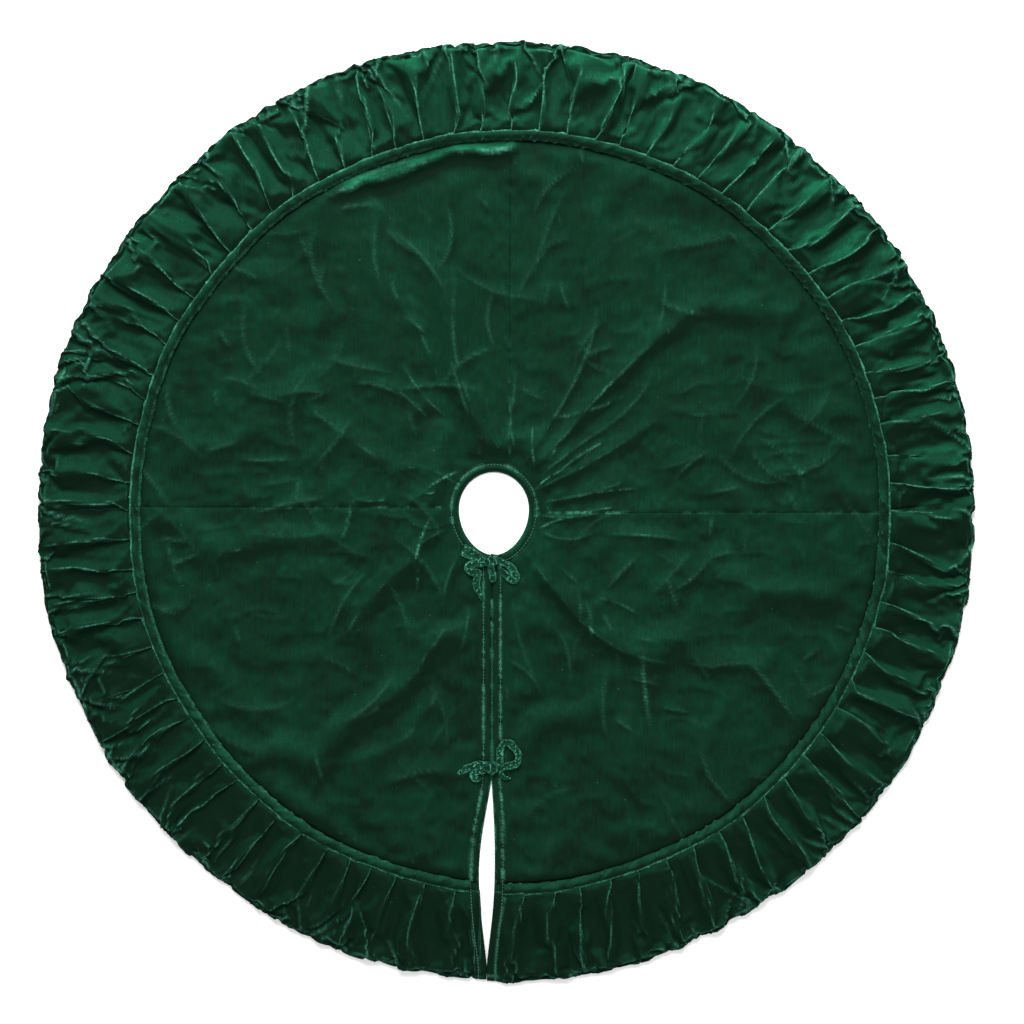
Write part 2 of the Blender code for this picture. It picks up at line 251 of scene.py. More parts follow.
def hole_share(x, y):
    """Distance from the hole's centre in units of the hole's edge."""
    across = (x - HOLE.x) / HOLE_HALF_WIDTH
    up = (y - HOLE.y) / np.where(y > HOLE.y, HOLE_UP, HOLE_DOWN)
    return np.hypot(across / hole_narrows(up / (np.hypot(across, up) + 1e-9)), up)


def past_hole(x, y):
    """Distance outside the hole's edge."""
    return (hole_share(x, y) - 1) * HOLE_HALF_WIDTH


def beside_slit(x, y):
    """Distance from the nearer edge of the slit."""
    return np.minimum(np.abs(x - slit_edge(-1, y)), np.abs(x - slit_edge(1, y)))


def slit_angle(side, radius, inset=0.0):
    """The angle about the origin at which the slit's edge crosses a circle."""
    y = -radius
    for _ in range(8):
        y = -np.sqrt(radius**2 - slit_edge(side, y, inset) ** 2)
    angle = np.arctan2(y, slit_edge(side, y, inset))
    return angle if side > 0 else angle + 2 * math.pi


# Meshes from grids of points.


def relief(grid):
    """How much each point of a grid is a crest or a hollow, and its normal."""
    across = np.gradient(grid, axis=0)
    along = np.gradient(grid, axis=1)
    normal = np.cross(across, along)
    normal /= np.linalg.norm(normal, axis=-1, keepdims=True) + 1e-12
    bend = np.zeros(grid.shape[:2])
    for axis, step in ((0, across), (1, along)):
        if grid.shape[axis] < 3:
            continue
        second = np.gradient(step, axis=axis)
        length = (step**2).sum(-1) + 1e-10
        bend -= (second * normal).sum(-1) / length
    return bend, normal


def raised(plan, height):
    """A flat grid or line of points, lifted to these heights."""
    return np.concatenate([plan, height[..., None]], -1)


def lengths_along(path):
    """How far along a line of points each of them is."""
    return np.concatenate([[0], np.cumsum(np.linalg.norm(np.diff(path, axis=0), axis=1))])


def grid_faces(rows, columns, wrap=False):
    index = np.arange(rows * columns).reshape(rows, columns)
    if wrap:
        index = np.concatenate([index, index[:, :1]], axis=1)
    corners = [index[:-1, :-1], index[1:, :-1], index[1:, 1:], index[:-1, 1:]]
    return np.stack([c.ravel() for c in corners], -1)


def mesh_object(name, points, faces, look, attributes=None):
    mesh = bpy.data.meshes.new(name)
    mesh.from_pydata(points.reshape(-1, 3).tolist(), [], [list(map(int, f)) for f in faces])
    rest = mesh.attributes.new("rest", "FLOAT_VECTOR", "POINT")
    rest.data.foreach_set("vector", np.ascontiguousarray(points, np.float32).ravel())
    for key, values in (attributes or {}).items():
        layer = mesh.attributes.new(key, "FLOAT", "POINT")
        layer.data.foreach_set("value", np.ascontiguousarray(values, np.float32).ravel())
    mesh.shade_smooth()
    mesh.materials.append(look)
    obj = bpy.data.objects.new(name, mesh)
    bpy.context.scene.collection.objects.link(obj)
    return obj


def painted_shading(grid, crest_from, crest_to, slope_light=1.0, north_light=0.0, light_everywhere=0.0):
    """Painted light and shade for the velvet's colour, from the shape of the mesh.

    A painted highlight on crests, painted shade in hollows, and painted light on slopes that face +Y,
    where the key lamp stands; slopes that face away get painted shade. The fifth argument adds more
    painted light towards the far side of the skirt, and the sixth an even share everywhere.
    """
    bend, normal = relief(grid)
    crest = smoothstep(bend, crest_from, crest_to)
    hollow_shade = smoothstep(-bend, crest_from * 0.4, crest_to * 0.7)
    # Painted light on slopes that face +Y and a little -X, towards the key lamp; painted shade on slopes
    # facing away.
    painted_light = slope_light * np.tanh(2.4 * (normal[..., 1] * 0.95 - normal[..., 0] * 0.10))
    # More painted light towards the far side of the skirt, and an even share of painted light everywhere.
    painted_light = painted_light + north_light * grid[..., 1] / SKIRT_R + light_everywhere
    return {"crest": crest, "hollow_shade": hollow_shade, "painted_light": painted_light}


def cloth_piece(name, grid, look, thickness, attributes=None, offset=-1):
    """A sheet of cloth over a grid of points. Its other face is below them, or above at offset 1."""
    obj = mesh_object(name, grid, grid_faces(*grid.shape[:2]), look, attributes)
    shell = obj.modifiers.new("cloth", "SOLIDIFY")
    shell.thickness = thickness
    shell.offset = offset
    apply_modifiers(obj)
    return obj


def tube_grid(path, along, wide, high, sides):
    """Rings of points round a path that lies nearly level.

    Along is its direction, and wide and high are the half width and half height, at each point.
    """
    across = np.stack([-along[:, 1], along[:, 0], 0 * along[:, 0]], -1)
    across /= np.linalg.norm(across, axis=1, keepdims=True) + 1e-12
    angle = np.linspace(0, 2 * math.pi, sides, endpoint=False)
    grid = path[:, None] + np.cos(angle)[None, :, None] * across[:, None] * wide[:, None, None]
    grid[..., 2] += np.sin(angle)[None] * high[:, None]
    return grid


def tubes_object(name, grids, look, attributes=None):
    """One mesh of closed tubes, each from rings of points, with a cap on each end."""
    points, faces, first = [], [], 0
    for grid in grids:
        rows, columns = grid.shape[:2]
        faces += (grid_faces(rows, columns, wrap=True) + first).tolist()
        faces.append(list(range(first, first + columns))[::-1])
        faces.append(list(range(first + (rows - 1) * columns, first + rows * columns)))
        points.append(grid.reshape(-1, 3))
        first += rows * columns
    obj = mesh_object(name, np.concatenate(points), faces, look, attributes)
    form = bmesh.new()
    form.from_mesh(obj.data)
    bmesh.ops.recalc_face_normals(form, faces=form.faces)
    form.to_mesh(obj.data)
    form.free()
    return obj


def tube_painted_shading(grid, crest_from, crest_to, outer, inner, painted_light=(1.0, 0.0)):
    """The painted light and shade over a closed tube, with broken painted highlight lines along its two
    edges.
    """
    padded = np.concatenate([grid[:, -2:], grid, grid[:, :2]], 1)
    looks = painted_shading(padded, crest_from, crest_to, painted_light[0], 0, painted_light[1])
    looks = {key: values[:, 2:-2] for key, values in looks.items()}
    angle = np.linspace(0, 2 * math.pi, grid.shape[1], endpoint=False)[None]
    run = lengths_along(grid.mean(1))[:, None]
    dashes = noise(run, angle * 3 * MM, 3.5 * MM, 57) + 0.7 * wave(run, 45 * MM, 58)
    dashes = smoothstep(dashes, -1.1, 0.6)
    # Painted highlight lines along both sides of the tube; outer and inner set their strength.
    line = bell(np.abs(np.cos(angle)) - 0.88, 0.13) * (np.sin(angle) > -0.2)
    line = line * np.where(np.cos(angle) > 0, outer, inner)
    looks["crest"] = np.maximum(looks["crest"], line * mix(0.45, 1, dashes))
    return looks


def smooth(points, each):
    """A Catmull-Rom curve through these points, with each new points in every span."""
    field = np.asarray(points, float)[:, None]
    at = np.linspace(0, len(points) - 1, (len(points) - 1) * each + 1)
    ends = np.concatenate([2 * field[:1] - field[1:2], field, 2 * field[-1:] - field[-2:-1]])
    return cubic(ends, np.minimum(at, len(points) - 1 - 1e-6) + 1, at * 0)


def resample(points, pitch):
    """Points spaced evenly along a line."""
    length = lengths_along(points)
    at = np.arange(int(length[-1] / pitch) + 1) * pitch
    return np.stack([np.interp(at, length, points[:, i]) for i in range(points.shape[1])], -1)


def apply_modifiers(obj):
    graph = bpy.context.evaluated_depsgraph_get()
    solid = obj.evaluated_get(graph)
    mesh = bpy.data.meshes.new_from_object(solid, preserve_all_data_layers=True, depsgraph=graph)
    obj.modifiers.clear()
    obj.data = mesh


def dress(obj, node, body=None):
    """Puts a piece in its node's place. It rides on a body, or else its place is baked into its mesh."""
    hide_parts(node)
    if body:
        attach(obj, body)
    else:
        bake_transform(obj)


# Cloth simulation.

SIM_CELL = 9 * MM
SIM_EDGE = PIPING_R + SIM_CELL
SIM_FRAMES = 50
DISC_MOVES = 9 * MM
RUFFLE_MOVES = 13 * MM


def simulate(points, faces, pinned, grow, bending):
    """Where Blender's cloth carries these points when it is a little too large for its pinned edges."""
    scene = bpy.context.scene
    mesh = bpy.data.meshes.new("slack_cloth")
    mesh.from_pydata(points.tolist(), [], faces.tolist())
    slack = bpy.data.objects.new("slack_cloth", mesh)
    scene.collection.objects.link(slack)
    group = slack.vertex_groups.new(name="pinned")
    group.add(np.flatnonzero(pinned).tolist(), 1.0, "REPLACE")
    cloth = slack.modifiers.new("slack", "CLOTH")
    cloth.settings.quality = 4
    cloth.settings.mass = 0.15
    cloth.settings.air_damping = 2
    cloth.settings.vertex_group_mass = "pinned"
    cloth.settings.shrink_min = -grow
    cloth.settings.bending_stiffness = bending
    cloth.settings.effector_weights.gravity = 0.25
    cloth.collision_settings.distance_min = 0.5 * MM
    cloth.point_cache.frame_end = SIM_FRAMES

    table_mesh = bpy.data.meshes.new("table")
    table_mesh.from_pydata([(-1, -1, 0), (1, -1, 0), (1, 1, 0), (-1, 1, 0)], [], [(0, 1, 2, 3)])
    table = bpy.data.objects.new("table", table_mesh)
    table.location.z = VELVET_TOP - 1.5 * MM
    scene.collection.objects.link(table)
    table.modifiers.new("table", "COLLISION")
    table.collision.thickness_outer = 0.5 * MM

    for moment in range(1, SIM_FRAMES + 1):
        scene.frame_set(moment)
    graph = bpy.context.evaluated_depsgraph_get()
    moved = np.empty(points.size, np.float32)
    slack.evaluated_get(graph).data.vertices.foreach_get("co", moved)
    bpy.data.objects.remove(slack)
    bpy.data.objects.remove(table)
    scene.frame_set(1)
    return moved.reshape(points.shape).astype(float)


def at_most(drift, most):
    """These movements, with none longer than most."""
    length = np.linalg.norm(drift, axis=-1, keepdims=True)
    return drift * np.minimum(1, most / (length + 1e-9))


def slack_disc():
    """How the disc's velvet buckles between the piping, the hole and the slit, on a square grid."""
    place = np.arange(-SIM_EDGE, SIM_EDGE + SIM_CELL / 2, SIM_CELL)
    x, y = np.meshgrid(place, place, indexing="ij")
    drift = np.zeros((*x.shape, 3))
    out = past_hole(x, y)
    inside = (np.hypot(x, y) < PANEL_R + 3 * MM) & (out > -3 * MM)
    beside = beside_slit(x, y)
    held = (PANEL_R - np.hypot(x, y) < 8 * MM) | (out < 20 * MM) | ((y < HOLE.y) & (beside < 22 * MM))
    start = np.stack([x, y, disc_height(x, y)], -1)
    index = np.full(x.shape, -1)
    index[inside] = np.arange(inside.sum())
    corners = np.stack([index[:-1, :-1], index[1:, :-1], index[1:, 1:], index[:-1, 1:]], -1).reshape(-1, 4)
    faces = corners[(corners >= 0).all(1)]
    moved = simulate(start[inside], faces, held[inside], DISC_GROWTH, 14)
    drift[inside] = moved - start[inside]
    return at_most(drift, DISC_MOVES)


def slack_ruffle():
    """How the ruffle's gathers fall, on a grid of SIM_STEPS to a pleat and SIM_ROWS across."""
    q = np.linspace(0, 4 * PLEATS, 4 * PLEATS * SIM_STEPS + 1)[None]
    over = np.linspace(0, 1, SIM_ROWS)[:, None]
    start = ruffle_points(q, over, 0)[0]
    drift = np.zeros(start.shape)
    held = np.zeros(start.shape[:2], bool)
    held[[0, -1]] = True
    held[:, [0, -1]] = True
    faces = grid_faces(*start.shape[:2])
    moved = simulate(start.reshape(-1, 3), faces, held.ravel(), RUFFLE_GROWTH, 2)
    drift = moved.reshape(start.shape) - start
    return at_most(drift, RUFFLE_MOVES)


# Materials.


class Nodes:
    """A short way to write a material's nodes."""

    def __init__(self, name):
        self.material = bpy.data.materials.new(name)
        self.material.use_nodes = True
        self.tree = self.material.node_tree
        self.shader = self.tree.nodes["Principled BSDF"]
        self.place = self.add("ShaderNodeAttribute", attribute_name="rest").outputs["Vector"]

    def add(self, kind, **settings):
        node = self.tree.nodes.new(kind)
        for key, value in settings.items():
            setattr(node, key, value)
        return node

    def link(self, socket, value):
        if isinstance(value, bpy.types.NodeSocket):
            self.tree.links.new(value, socket)
        else:
            socket.default_value = value

    def noise(self, scale, detail=2.0, stretch=(1, 1, 1), roughness=0.5, distortion=0.0):
        mapping = self.add("ShaderNodeMapping")
        self.link(mapping.inputs["Vector"], self.place)
        mapping.inputs["Scale"].default_value = stretch
        node = self.add("ShaderNodeTexNoise")
        self.link(node.inputs["Vector"], mapping.outputs["Vector"])
        node.inputs["Scale"].default_value = scale
        node.inputs["Detail"].default_value = detail
        node.inputs["Roughness"].default_value = roughness
        node.inputs["Distortion"].default_value = distortion
        return node.outputs["Fac"]

    def math(self, operation, a, b=0.0):
        node = self.add("ShaderNodeMath", operation=operation)
        self.link(node.inputs[0], a)
        self.link(node.inputs[1], b)
        return node.outputs[0]

    def range(self, value, start, end, low=0.0, high=1.0):
        node = self.add("ShaderNodeMapRange", interpolation_type="SMOOTHSTEP")
        sockets = ("Value", "From Min", "From Max", "To Min", "To Max")
        for key, number in zip(sockets, (value, start, end, low, high)):
            self.link(node.inputs[key], number)
        return node.outputs["Result"]

    def mix(self, share, a, b):
        node = self.add("ShaderNodeMix", data_type="RGBA")
        self.link(node.inputs["Factor"], share)
        for socket, colour in ((node.inputs[6], a), (node.inputs[7], b)):
            self.link(socket, colour if isinstance(colour, bpy.types.NodeSocket) else (*colour, 1))
        return node.outputs[2]

    def value(self, name):
        return self.add("ShaderNodeAttribute", attribute_name=name).outputs["Fac"]

    def bump(self, height, distance, strength=1.0):
        node = self.add("ShaderNodeBump")
        self.link(node.inputs["Height"], height)
        node.inputs["Distance"].default_value = distance
        node.inputs["Strength"].default_value = strength
        self.link(self.shader.inputs["Normal"], node.outputs["Normal"])

    def finish(self, colour, roughness):
        self.link(self.shader.inputs["Base Color"], colour)
        self.link(self.shader.inputs["Roughness"], roughness)
        return self.material


# The velvet's colours. Deep, green and bright carry random tone and the painted light and shade; vivid is
# reached mostly where the painted light is strongest; the crest colour is the painted highlight, and also
# the colour of lint and specks.
DEEP = (0.0020, 0.0100, 0.0052)
GREEN = (0.0024, 0.0202, 0.0097)
BRIGHT = (0.0043, 0.0405, 0.0207)
VIVID = (0.0075, 0.1150, 0.0520)
CREST = (0.0900, 0.4000, 0.2650)


def velvet_material(name, lift=0.0, flecks=0.0):
    """Velvet: random tone from patches, strokes and nap, with painted light and shade on top.

    Painted shade goes in hollows, painted light on slopes that face the key lamp, and a painted
    highlight on crests. Flecks is how much of it shows scattered pale specks.
    """
    n = Nodes(name)
    crest, hollow_shade, painted_light = n.value("crest"), n.value("hollow_shade"), n.value("painted_light")
    patches = n.noise(9, 3, distortion=0.3)
    strokes = n.noise(48, 3, stretch=(1.0, 0.35, 1.0), distortion=0.4)
    grain = n.noise(560, 2)
    nap = n.noise(330, 2, stretch=(1.0, 0.14, 1.0))
    # Mood: random patches, strokes and nap, plus the painted light from the mesh's slopes.
    mood = n.math("ADD", n.math("MULTIPLY", patches, 0.42), n.math("MULTIPLY", strokes, 0.30))
    mood = n.math("ADD", mood, n.math("MULTIPLY", nap, 0.28))
    mood = n.math("ADD", n.math("ADD", mood, n.math("MULTIPLY", painted_light, 0.60)), lift)
    colour = n.mix(n.range(mood, 0.28, 0.56), DEEP, GREEN)
    colour = n.mix(n.range(mood, 0.50, 0.88), colour, BRIGHT)
    colour = n.mix(n.range(mood, 0.90, 1.32), colour, VIVID)
    colour = n.mix(n.math("MULTIPLY", n.range(grain, 0.35, 0.72), 0.30), colour, DEEP)
    # Painted shade in hollows.
    colour = n.mix(n.math("MULTIPLY", hollow_shade, 0.70), colour, DEEP)
    # Painted highlight on crests, broken and speckled.
    broken = n.range(n.noise(210, 3), 0.34, 0.60, 0.35, 1.0)
    speckled = n.range(n.noise(640, 2, roughness=0.6), 0.36, 0.60, 0.30, 1.15)
    colour = n.mix(n.math("MULTIPLY", crest, n.math("MULTIPLY", broken, speckled)), colour, CREST)
    lint = n.math("MULTIPLY", n.range(n.noise(330, 1), 0.80, 0.86), 0.35)
    colour = n.mix(lint, colour, CREST)
    if flecks:
        specks = n.math("MULTIPLY", n.range(n.noise(330, 2, roughness=0.7), 0.55, 0.66), flecks)
        colour = n.mix(specks, colour, CREST)
    n.shader.inputs["Sheen Weight"].default_value = 0.30
    n.shader.inputs["Sheen Roughness"].default_value = 0.30
    n.shader.inputs["Sheen Tint"].default_value = (0.10, 0.50, 0.31, 1)
    n.shader.inputs["Specular IOR Level"].default_value = 0.03
    n.bump(n.math("ADD", grain, n.math("MULTIPLY", n.noise(190, 3), 0.8)), 0.9 * MM, 0.55)
    return n.finish(colour, n.range(strokes, 0.3, 0.7, 0.72, 0.92))


def weave_material(name, dark, light, threads):
    """A plain weave: crossed threads, with slubs and soft patches of tone."""
    n = Nodes(name)
    weft = n.noise(threads, 1, stretch=(0.06, 1, 1))
    warp = n.noise(threads, 1, stretch=(1, 0.06, 1))
    patches = n.noise(9, 3)
    cloth = n.math("ADD", n.math("MULTIPLY", weft, 0.5), n.math("MULTIPLY", warp, 0.5))
    mood = n.math("ADD", n.math("MULTIPLY", cloth, 0.6), n.math("MULTIPLY", patches, 0.4))
    crumple = n.math("MULTIPLY", n.noise(26, 2, distortion=0.3), 1.6)
    n.bump(n.math("ADD", cloth, crumple), 0.7 * MM, 0.7)
    n.shader.inputs["Specular IOR Level"].default_value = 0.15
    return n.finish(n.mix(n.range(mood, 0.35, 0.65), dark, light), n.range(cloth, 0.3, 0.7, 0.70, 0.90))


def thread_material(name, dark, light):
    """Twisted thread: fine slanting plies."""
    n = Nodes(name)
    plies = n.noise(900, 2, stretch=(1, 1, 0.4))
    n.bump(plies, 0.3 * MM, 0.5)
    return n.finish(n.mix(n.range(plies, 0.3, 0.7), dark, light), n.range(plies, 0.3, 0.7, 0.45, 0.65))


# The disc.


def ring(radius, angle):
    return np.stack([radius * np.cos(angle), radius * np.sin(angle)], -1)


def arc_ends(side, half, radius):
    """The angles from which and to which a quarter runs on a circle, counter-clockwise."""
    seam = math.asin(SEAM_Y[side] / radius)
    if half > 0:
        return (seam, math.pi / 2) if side > 0 else (math.pi / 2, math.pi - seam)
    slit = float(slit_angle(side, radius))
    return (slit, seam) if side > 0 else (math.pi - seam, slit)


def hole_ends(side, half):
    """The same on the hole's edge, as angles about the hole's centre."""
    seam_rise = (SEAM_Y[side] - HOLE.y) / (HOLE_UP if SEAM_Y[side] > HOLE.y else HOLE_DOWN)
    seam = math.asin(seam_rise) if side > 0 else math.pi - math.asin(seam_rise)
    if half > 0:
        top = math.acos(-HOLE.x / HOLE_HALF_WIDTH)
        return (seam, top) if side > 0 else (top, seam)
    angle = -math.pi / 2
    for _ in range(8):
        y = float(hole_point(angle)[1])
        angle = -math.acos((float(slit_edge(side, y)) - HOLE.x) / (HOLE_HALF_WIDTH * (1 - HOLE_POINTED)))
    return (angle, seam) if side > 0 else (seam, angle + 2 * math.pi)


def quarter_plan(side, half, columns, rows, outer_radius, closer=1.0):
    """A flat grid over one quarter of the disc, rows running out from the hole to the ring.

    Closer above 1 gathers the columns towards the side seam, where the skirt folds.
    """
    along = np.linspace(0, 1, columns) ** closer
    if side * half < 0:
        along = 1 - along[::-1]
    inner = hole_point(mix(*hole_ends(side, half), along))
    outer = ring(outer_radius, mix(*arc_ends(side, half, outer_radius), along))
    out = np.linspace(0, 1, rows)[:, None, None] ** 1.18
    plan = mix(inner[None], outer[None], out)
    if half < 0:
        near = smoothstep(along if side < 0 else 1 - along, 0.6, 1.0)[None]
        chord = plan[:, -1 if side < 0 else 0, 0][:, None]
        plan[..., 0] += (slit_edge(side, plan[:, -1 if side < 0 else 0, 1])[:, None] - chord) * near
    return plan


SHORT_CREASES = 150

# Long creases that run out from the hole: bearing about it in degrees, where each starts and ends
# in mm from the hole's centre, how far its outer end swings to the left in degrees, and its height.
CREASES = [
    (78, 62, 190, 4, 3.0), (57, 70, 330, 8, 4.0), (47, 66, 420, -4, 4.5), (36, 80, 300, 6, 3.5),
    (24, 62, 260, 4, 4.0), (8, 66, 190, 6, 4.5), (-7, 62, 170, 12, 3.5), (-24, 70, 150, 20, 2.5),
    (-52, 90, 330, 14, 3.0), (-40, 120, 280, -16, 2.6), (104, 110, 330, -8, 3.2), (115, 190, 400, -6, 2.6),
    (128, 150, 260, 10, 2.4), (146, 60, 150, 18, 2.4), (157, 120, 330, -10, 2.0), (203, 70, 140, 10, 2.6),
    (214, 110, 290, 12, 2.2), (232, 60, 150, 12, 2.6), (247, 160, 340, -14, 2.8), (253, 250, 430, -22, 2.6),
]


def crease(x, y, bearing, start, end, swing, height, width=7.5 * MM):
    """A ridge that runs out from the hole, steeper on one side, fading at both ends.

    Returns its height and the painted highlight along its crest.
    """
    dx, dy = x - HOLE.x, y - HOLE.y
    away = np.hypot(dx, dy)
    share = np.clip((away / MM - start) / (end - start), -0.5, 1.5)
    line = np.radians(bearing + swing * np.clip(share, 0, 1) ** 2)
    line = line + 0.035 * wave(away, 0.11, int(bearing) + 400)
    turn = np.arctan2(dy, dx) - line
    turn = (turn + math.pi) % (2 * math.pi) - math.pi
    off = away * np.sin(turn)
    far = np.abs(turn) > 1.2
    spread = 0.6 + away / 0.3
    fade = smoothstep(share, -0.05, 0.12) * (1 - smoothstep(share, 0.6, 1.05))
    rise = np.where(far, 0, height * MM * ridge(off, width * 2.2 * spread, width * spread, 3 * MM) * fade)
    broken = smoothstep(wave(away, 26 * MM, int(bearing) + 500), -0.15, 0.45)
    line = bell(off, 1.2 * MM + 0.004 * away) * fade * broken
    return rise, np.where(far, 0, line)


# Short sharp folds close to the hole: both ends in mm from the hole's centre, how far the middle
# bows to the left of the straight line in mm, and how strong the painted highlight on its crest is.
PINCHES = [
    ((53, 58), (51, 108), 2, 0.75), ((72, 58), (81, 78), 1, 0.70), ((54, 26), (88, 50), 2, 0.75),
    ((84, 47), (156, 92), 4, 0.45), ((72, 119), (170, 146), -5, 0.35), ((50, -31), (100, -11), 3, 0.60),
    ((96, -12), (158, 2), 2, 0.40), ((-46, 49), (-91, 24), -2, 0.75), ((-84, -12), (-102, -70), -3, 0.70),
    ((-101, -62), (-101, -108), 2, 0.40), ((106, -98), (113, -142), 3, 0.20),
    ((122, -120), (127, -170), 2, 0.20), ((134, -115), (190, -138), 4, 0.18),
    ((-184, 18), (-205, -56), 3, 0.30), ((30, 66), (22, 150), 3, 0.25),
    ((-62, 120), (-120, 190), 6, 0.25), ((90, 10), (190, 26), 4, 0.25),
]


def pinch(x, y, start, end, bow, light):
    """A short fold between two points, with its height and the light on its crest."""
    middle = (np.array(start) + end) / 2 * MM
    span = (np.array(end) - start) * MM
    half = math.hypot(*span) / 2
    heading = math.atan2(span[1], span[0])
    dx, dy = x - HOLE.x - middle[0], y - HOLE.y - middle[1]
    run = dx * math.cos(heading) + dy * math.sin(heading)
    off = dy * math.cos(heading) - dx * math.sin(heading) - bow * MM * (1 - (run / half) ** 2)
    fade = 1 - smoothstep(np.abs(run), 0.5 * half, 1.1 * half)
    rise = 1.3 * MM * ridge(off, 7 * MM, 3.5 * MM) * fade
    broken = smoothstep(wave(run, 7 * MM, int(abs(start[0])) + 700), -0.7, 0.7)
    away = math.hypot(*middle)
    return rise, 0.66 * light * broken * fade * bell(off, 0.8 * MM + 0.004 * away)


def creases(x, y):
    """The sum of the creases' heights, and the light on their crests."""
    rise, line = 0, 0
    for values in CREASES:
        more, light = crease(x, y, *values)
        rise, line = rise + more, line + 0.10 * light
    for values in PINCHES:
        more, light = pinch(x, y, *values)
        rise, line = rise + more, line + light
    return rise, line


def short_creases(x, y):
    """Scattered creases where the velvet was crushed: nearly straight, and sharp on one side.

    Returns their height and the faint light on some of their crests.
    """
    chance = np.random.default_rng(29)
    total, light = np.zeros(np.shape(x)), np.zeros(np.shape(x))
    for _ in range(SHORT_CREASES):
        radius, bearing = PANEL_R * math.sqrt(chance.uniform(0.05, 1)), chance.uniform(0, 2 * math.pi)
        heading = bearing + chance.normal(0, 0.9)
        length, height = chance.uniform(14, 70) * MM, chance.uniform(0.6, 2.2) * MM
        bow, wide = chance.uniform(-7, 7), chance.uniform(2.5, 5) * MM
        dx, dy = x - radius * math.cos(bearing), y - radius * math.sin(bearing)
        run = dx * math.cos(heading) + dy * math.sin(heading)
        off = dy * math.cos(heading) - dx * math.sin(heading) - bow * run**2
        near = (np.abs(run) < length) & (np.abs(off) < 9 * wide)
        if near.any():
            fade = 1 - smoothstep(np.abs(run), 0.3 * length, length)
            total = total + np.where(near, height * ridge(off, wide * 2, wide) * fade, 0)
            glow = 0.045 * height / MM * fade * bell(off, 2.0 * MM)
            light = np.maximum(light, np.where(near, glow, 0))
    return total, light


def seam_dips(x, y):
    """Valleys along the three seams, with the small puckers that the stitching pulls."""
    left = np.where(x < 0, np.abs(y - SEAM_Y[-1]), 1)
    right = np.where(x >= 0, np.abs(y - SEAM_Y[1]), 1)
    back = np.where(y > 0, np.abs(x), 1)
    dip = 0
    for gap, run, deep in ((left, x, 0.9), (right, x + 3, 0.9), (back, y, 0.4)):
        pull = 0.6 + 0.4 * wave(run, 9 * MM, 77)
        dip = dip - deep * MM * pull * bell(gap, 3.0 * MM)
        dip = dip + 0.7 * MM * noise(run, gap, 8 * MM, 78) * np.exp(-gap / (14 * MM))
    return dip


def rolled_fold(x, y):
    """The slack roll that lies against the piping at the back left, in two swellings.

    Returns how much each point is on it, in the painted shade below it, and on the painted
    highlight streaks along its edges.
    """
    edge = PANEL_R - np.hypot(x, y)
    bearing = np.degrees(np.arctan2(y, x)) % 360
    long_lobe = np.sin(np.clip((bearing - 98.5) / 20.5, 0, 1) * math.pi) ** 0.8
    short_lobe = np.sin(np.clip((bearing - 87.5) / 11, 0, 1) * math.pi) ** 0.8
    past = edge - (5 * MM + 16 * MM * long_lobe + 11 * MM * short_lobe)
    past = past + 2.5 * MM * wave(bearing * 0.01, 0.03, 43)
    rolled = smoothstep(bearing, 88, 90) * (1 - smoothstep(bearing, 114, 121))
    roll = rolled * bell(past, np.where(past > 0, 6 * MM, 15 * MM))
    shade = rolled * bell(past - 13 * MM, 9 * MM)
    # A painted highlight streak along the short swelling.
    streak_highlight = smoothstep(bearing, 89, 90) * (1 - smoothstep(bearing, 93.5, 96))
    streak_highlight = streak_highlight * bell(past + 2 * MM, 2.2 * MM)
    streak_highlight = streak_highlight * smoothstep(wave(bearing * 0.01, 0.010, 44), -0.6, 0.3)
    # A thin painted highlight line near the piping on the long swelling.
    seam = smoothstep(bearing, 105, 107) * (1 - smoothstep(bearing, 113, 117))
    seam = seam * bell(edge - 6 * MM, 2.4 * MM)
    return roll, shade, np.maximum(streak_highlight, 0.35 * seam)


def disc_height(x, y):
    """The velvet's height above the floor over the disc."""
    radius = np.hypot(x, y)
    edge = PANEL_R - radius
    bearing = np.degrees(np.arctan2(y, x)) % 360
    swell = 3.2 * MM * fractal(x, y, 0.11, 5) + 1.0 * MM * fractal(x + y, y - x, 0.035, 8)
    swell = swell + creases(x, y)[0] + short_creases(x, y)[0] + 9.5 * MM * rolled_fold(x, y)[0]
    crumple = ridge(noise(x, y, 36 * MM, 15), 0.13, 0.13, 0.06)
    crumple = crumple * smoothstep(noise(x, y, 0.13, 16), -0.3, 0.5)
    swell = swell + 1.0 * MM * crumple
    puckers = noise(np.radians(bearing) * PIPING_R, radius, 16 * MM, 41, 192)
    swell = swell + 1.6 * MM * puckers * np.exp(-edge / (14 * MM))
    calm = smoothstep(edge, -2 * MM, 16 * MM)
    height = VELVET_TOP + 1.5 * MM + swell * mix(0.35, 1, calm)
    height = height + seam_dips(x, y) * smoothstep(edge, 0, 10 * MM)
    out = past_hole(x, y)
    hem = bell(out - 5 * MM, 4 * MM) * 1.6 * MM - bell(out - HOLE_STITCH, 1.4 * MM) * 1.5 * MM
    near_hole = 1 - smoothstep(out, 10 * MM, 40 * MM)
    height = mix(height, VELVET_TOP + 0.6 * MM, near_hole * 0.8) + hem
    height = height - 3.2 * MM * np.exp(-np.clip(out, 0, 1) / (1.6 * MM))
    for side in (-1, 1):
        inset = side * (x - slit_edge(side, y))
        beside = (y < HOLE.y) & (inset > -1 * MM)
        near = np.where(beside, 1 - smoothstep(inset, 10 * MM, 34 * MM), 0)
        height = mix(height, VELVET_TOP + 0.8 * MM, near * 0.75)
        band = bell(inset - 5.5 * MM, 4.5 * MM) * 0.7 * MM
        band = band - bell(inset - SLIT_STITCH, 1.5 * MM) * 1.6 * MM
        band = band - 3.0 * MM * np.exp(-np.clip(inset, 0, 1) / (1.5 * MM))
        height = height + np.where(beside, band, 0)
    height = height - 2.5 * MM * np.exp(-np.clip(edge, 0, 1) / (2.5 * MM))
    return np.maximum(height, VELVET_LOW)


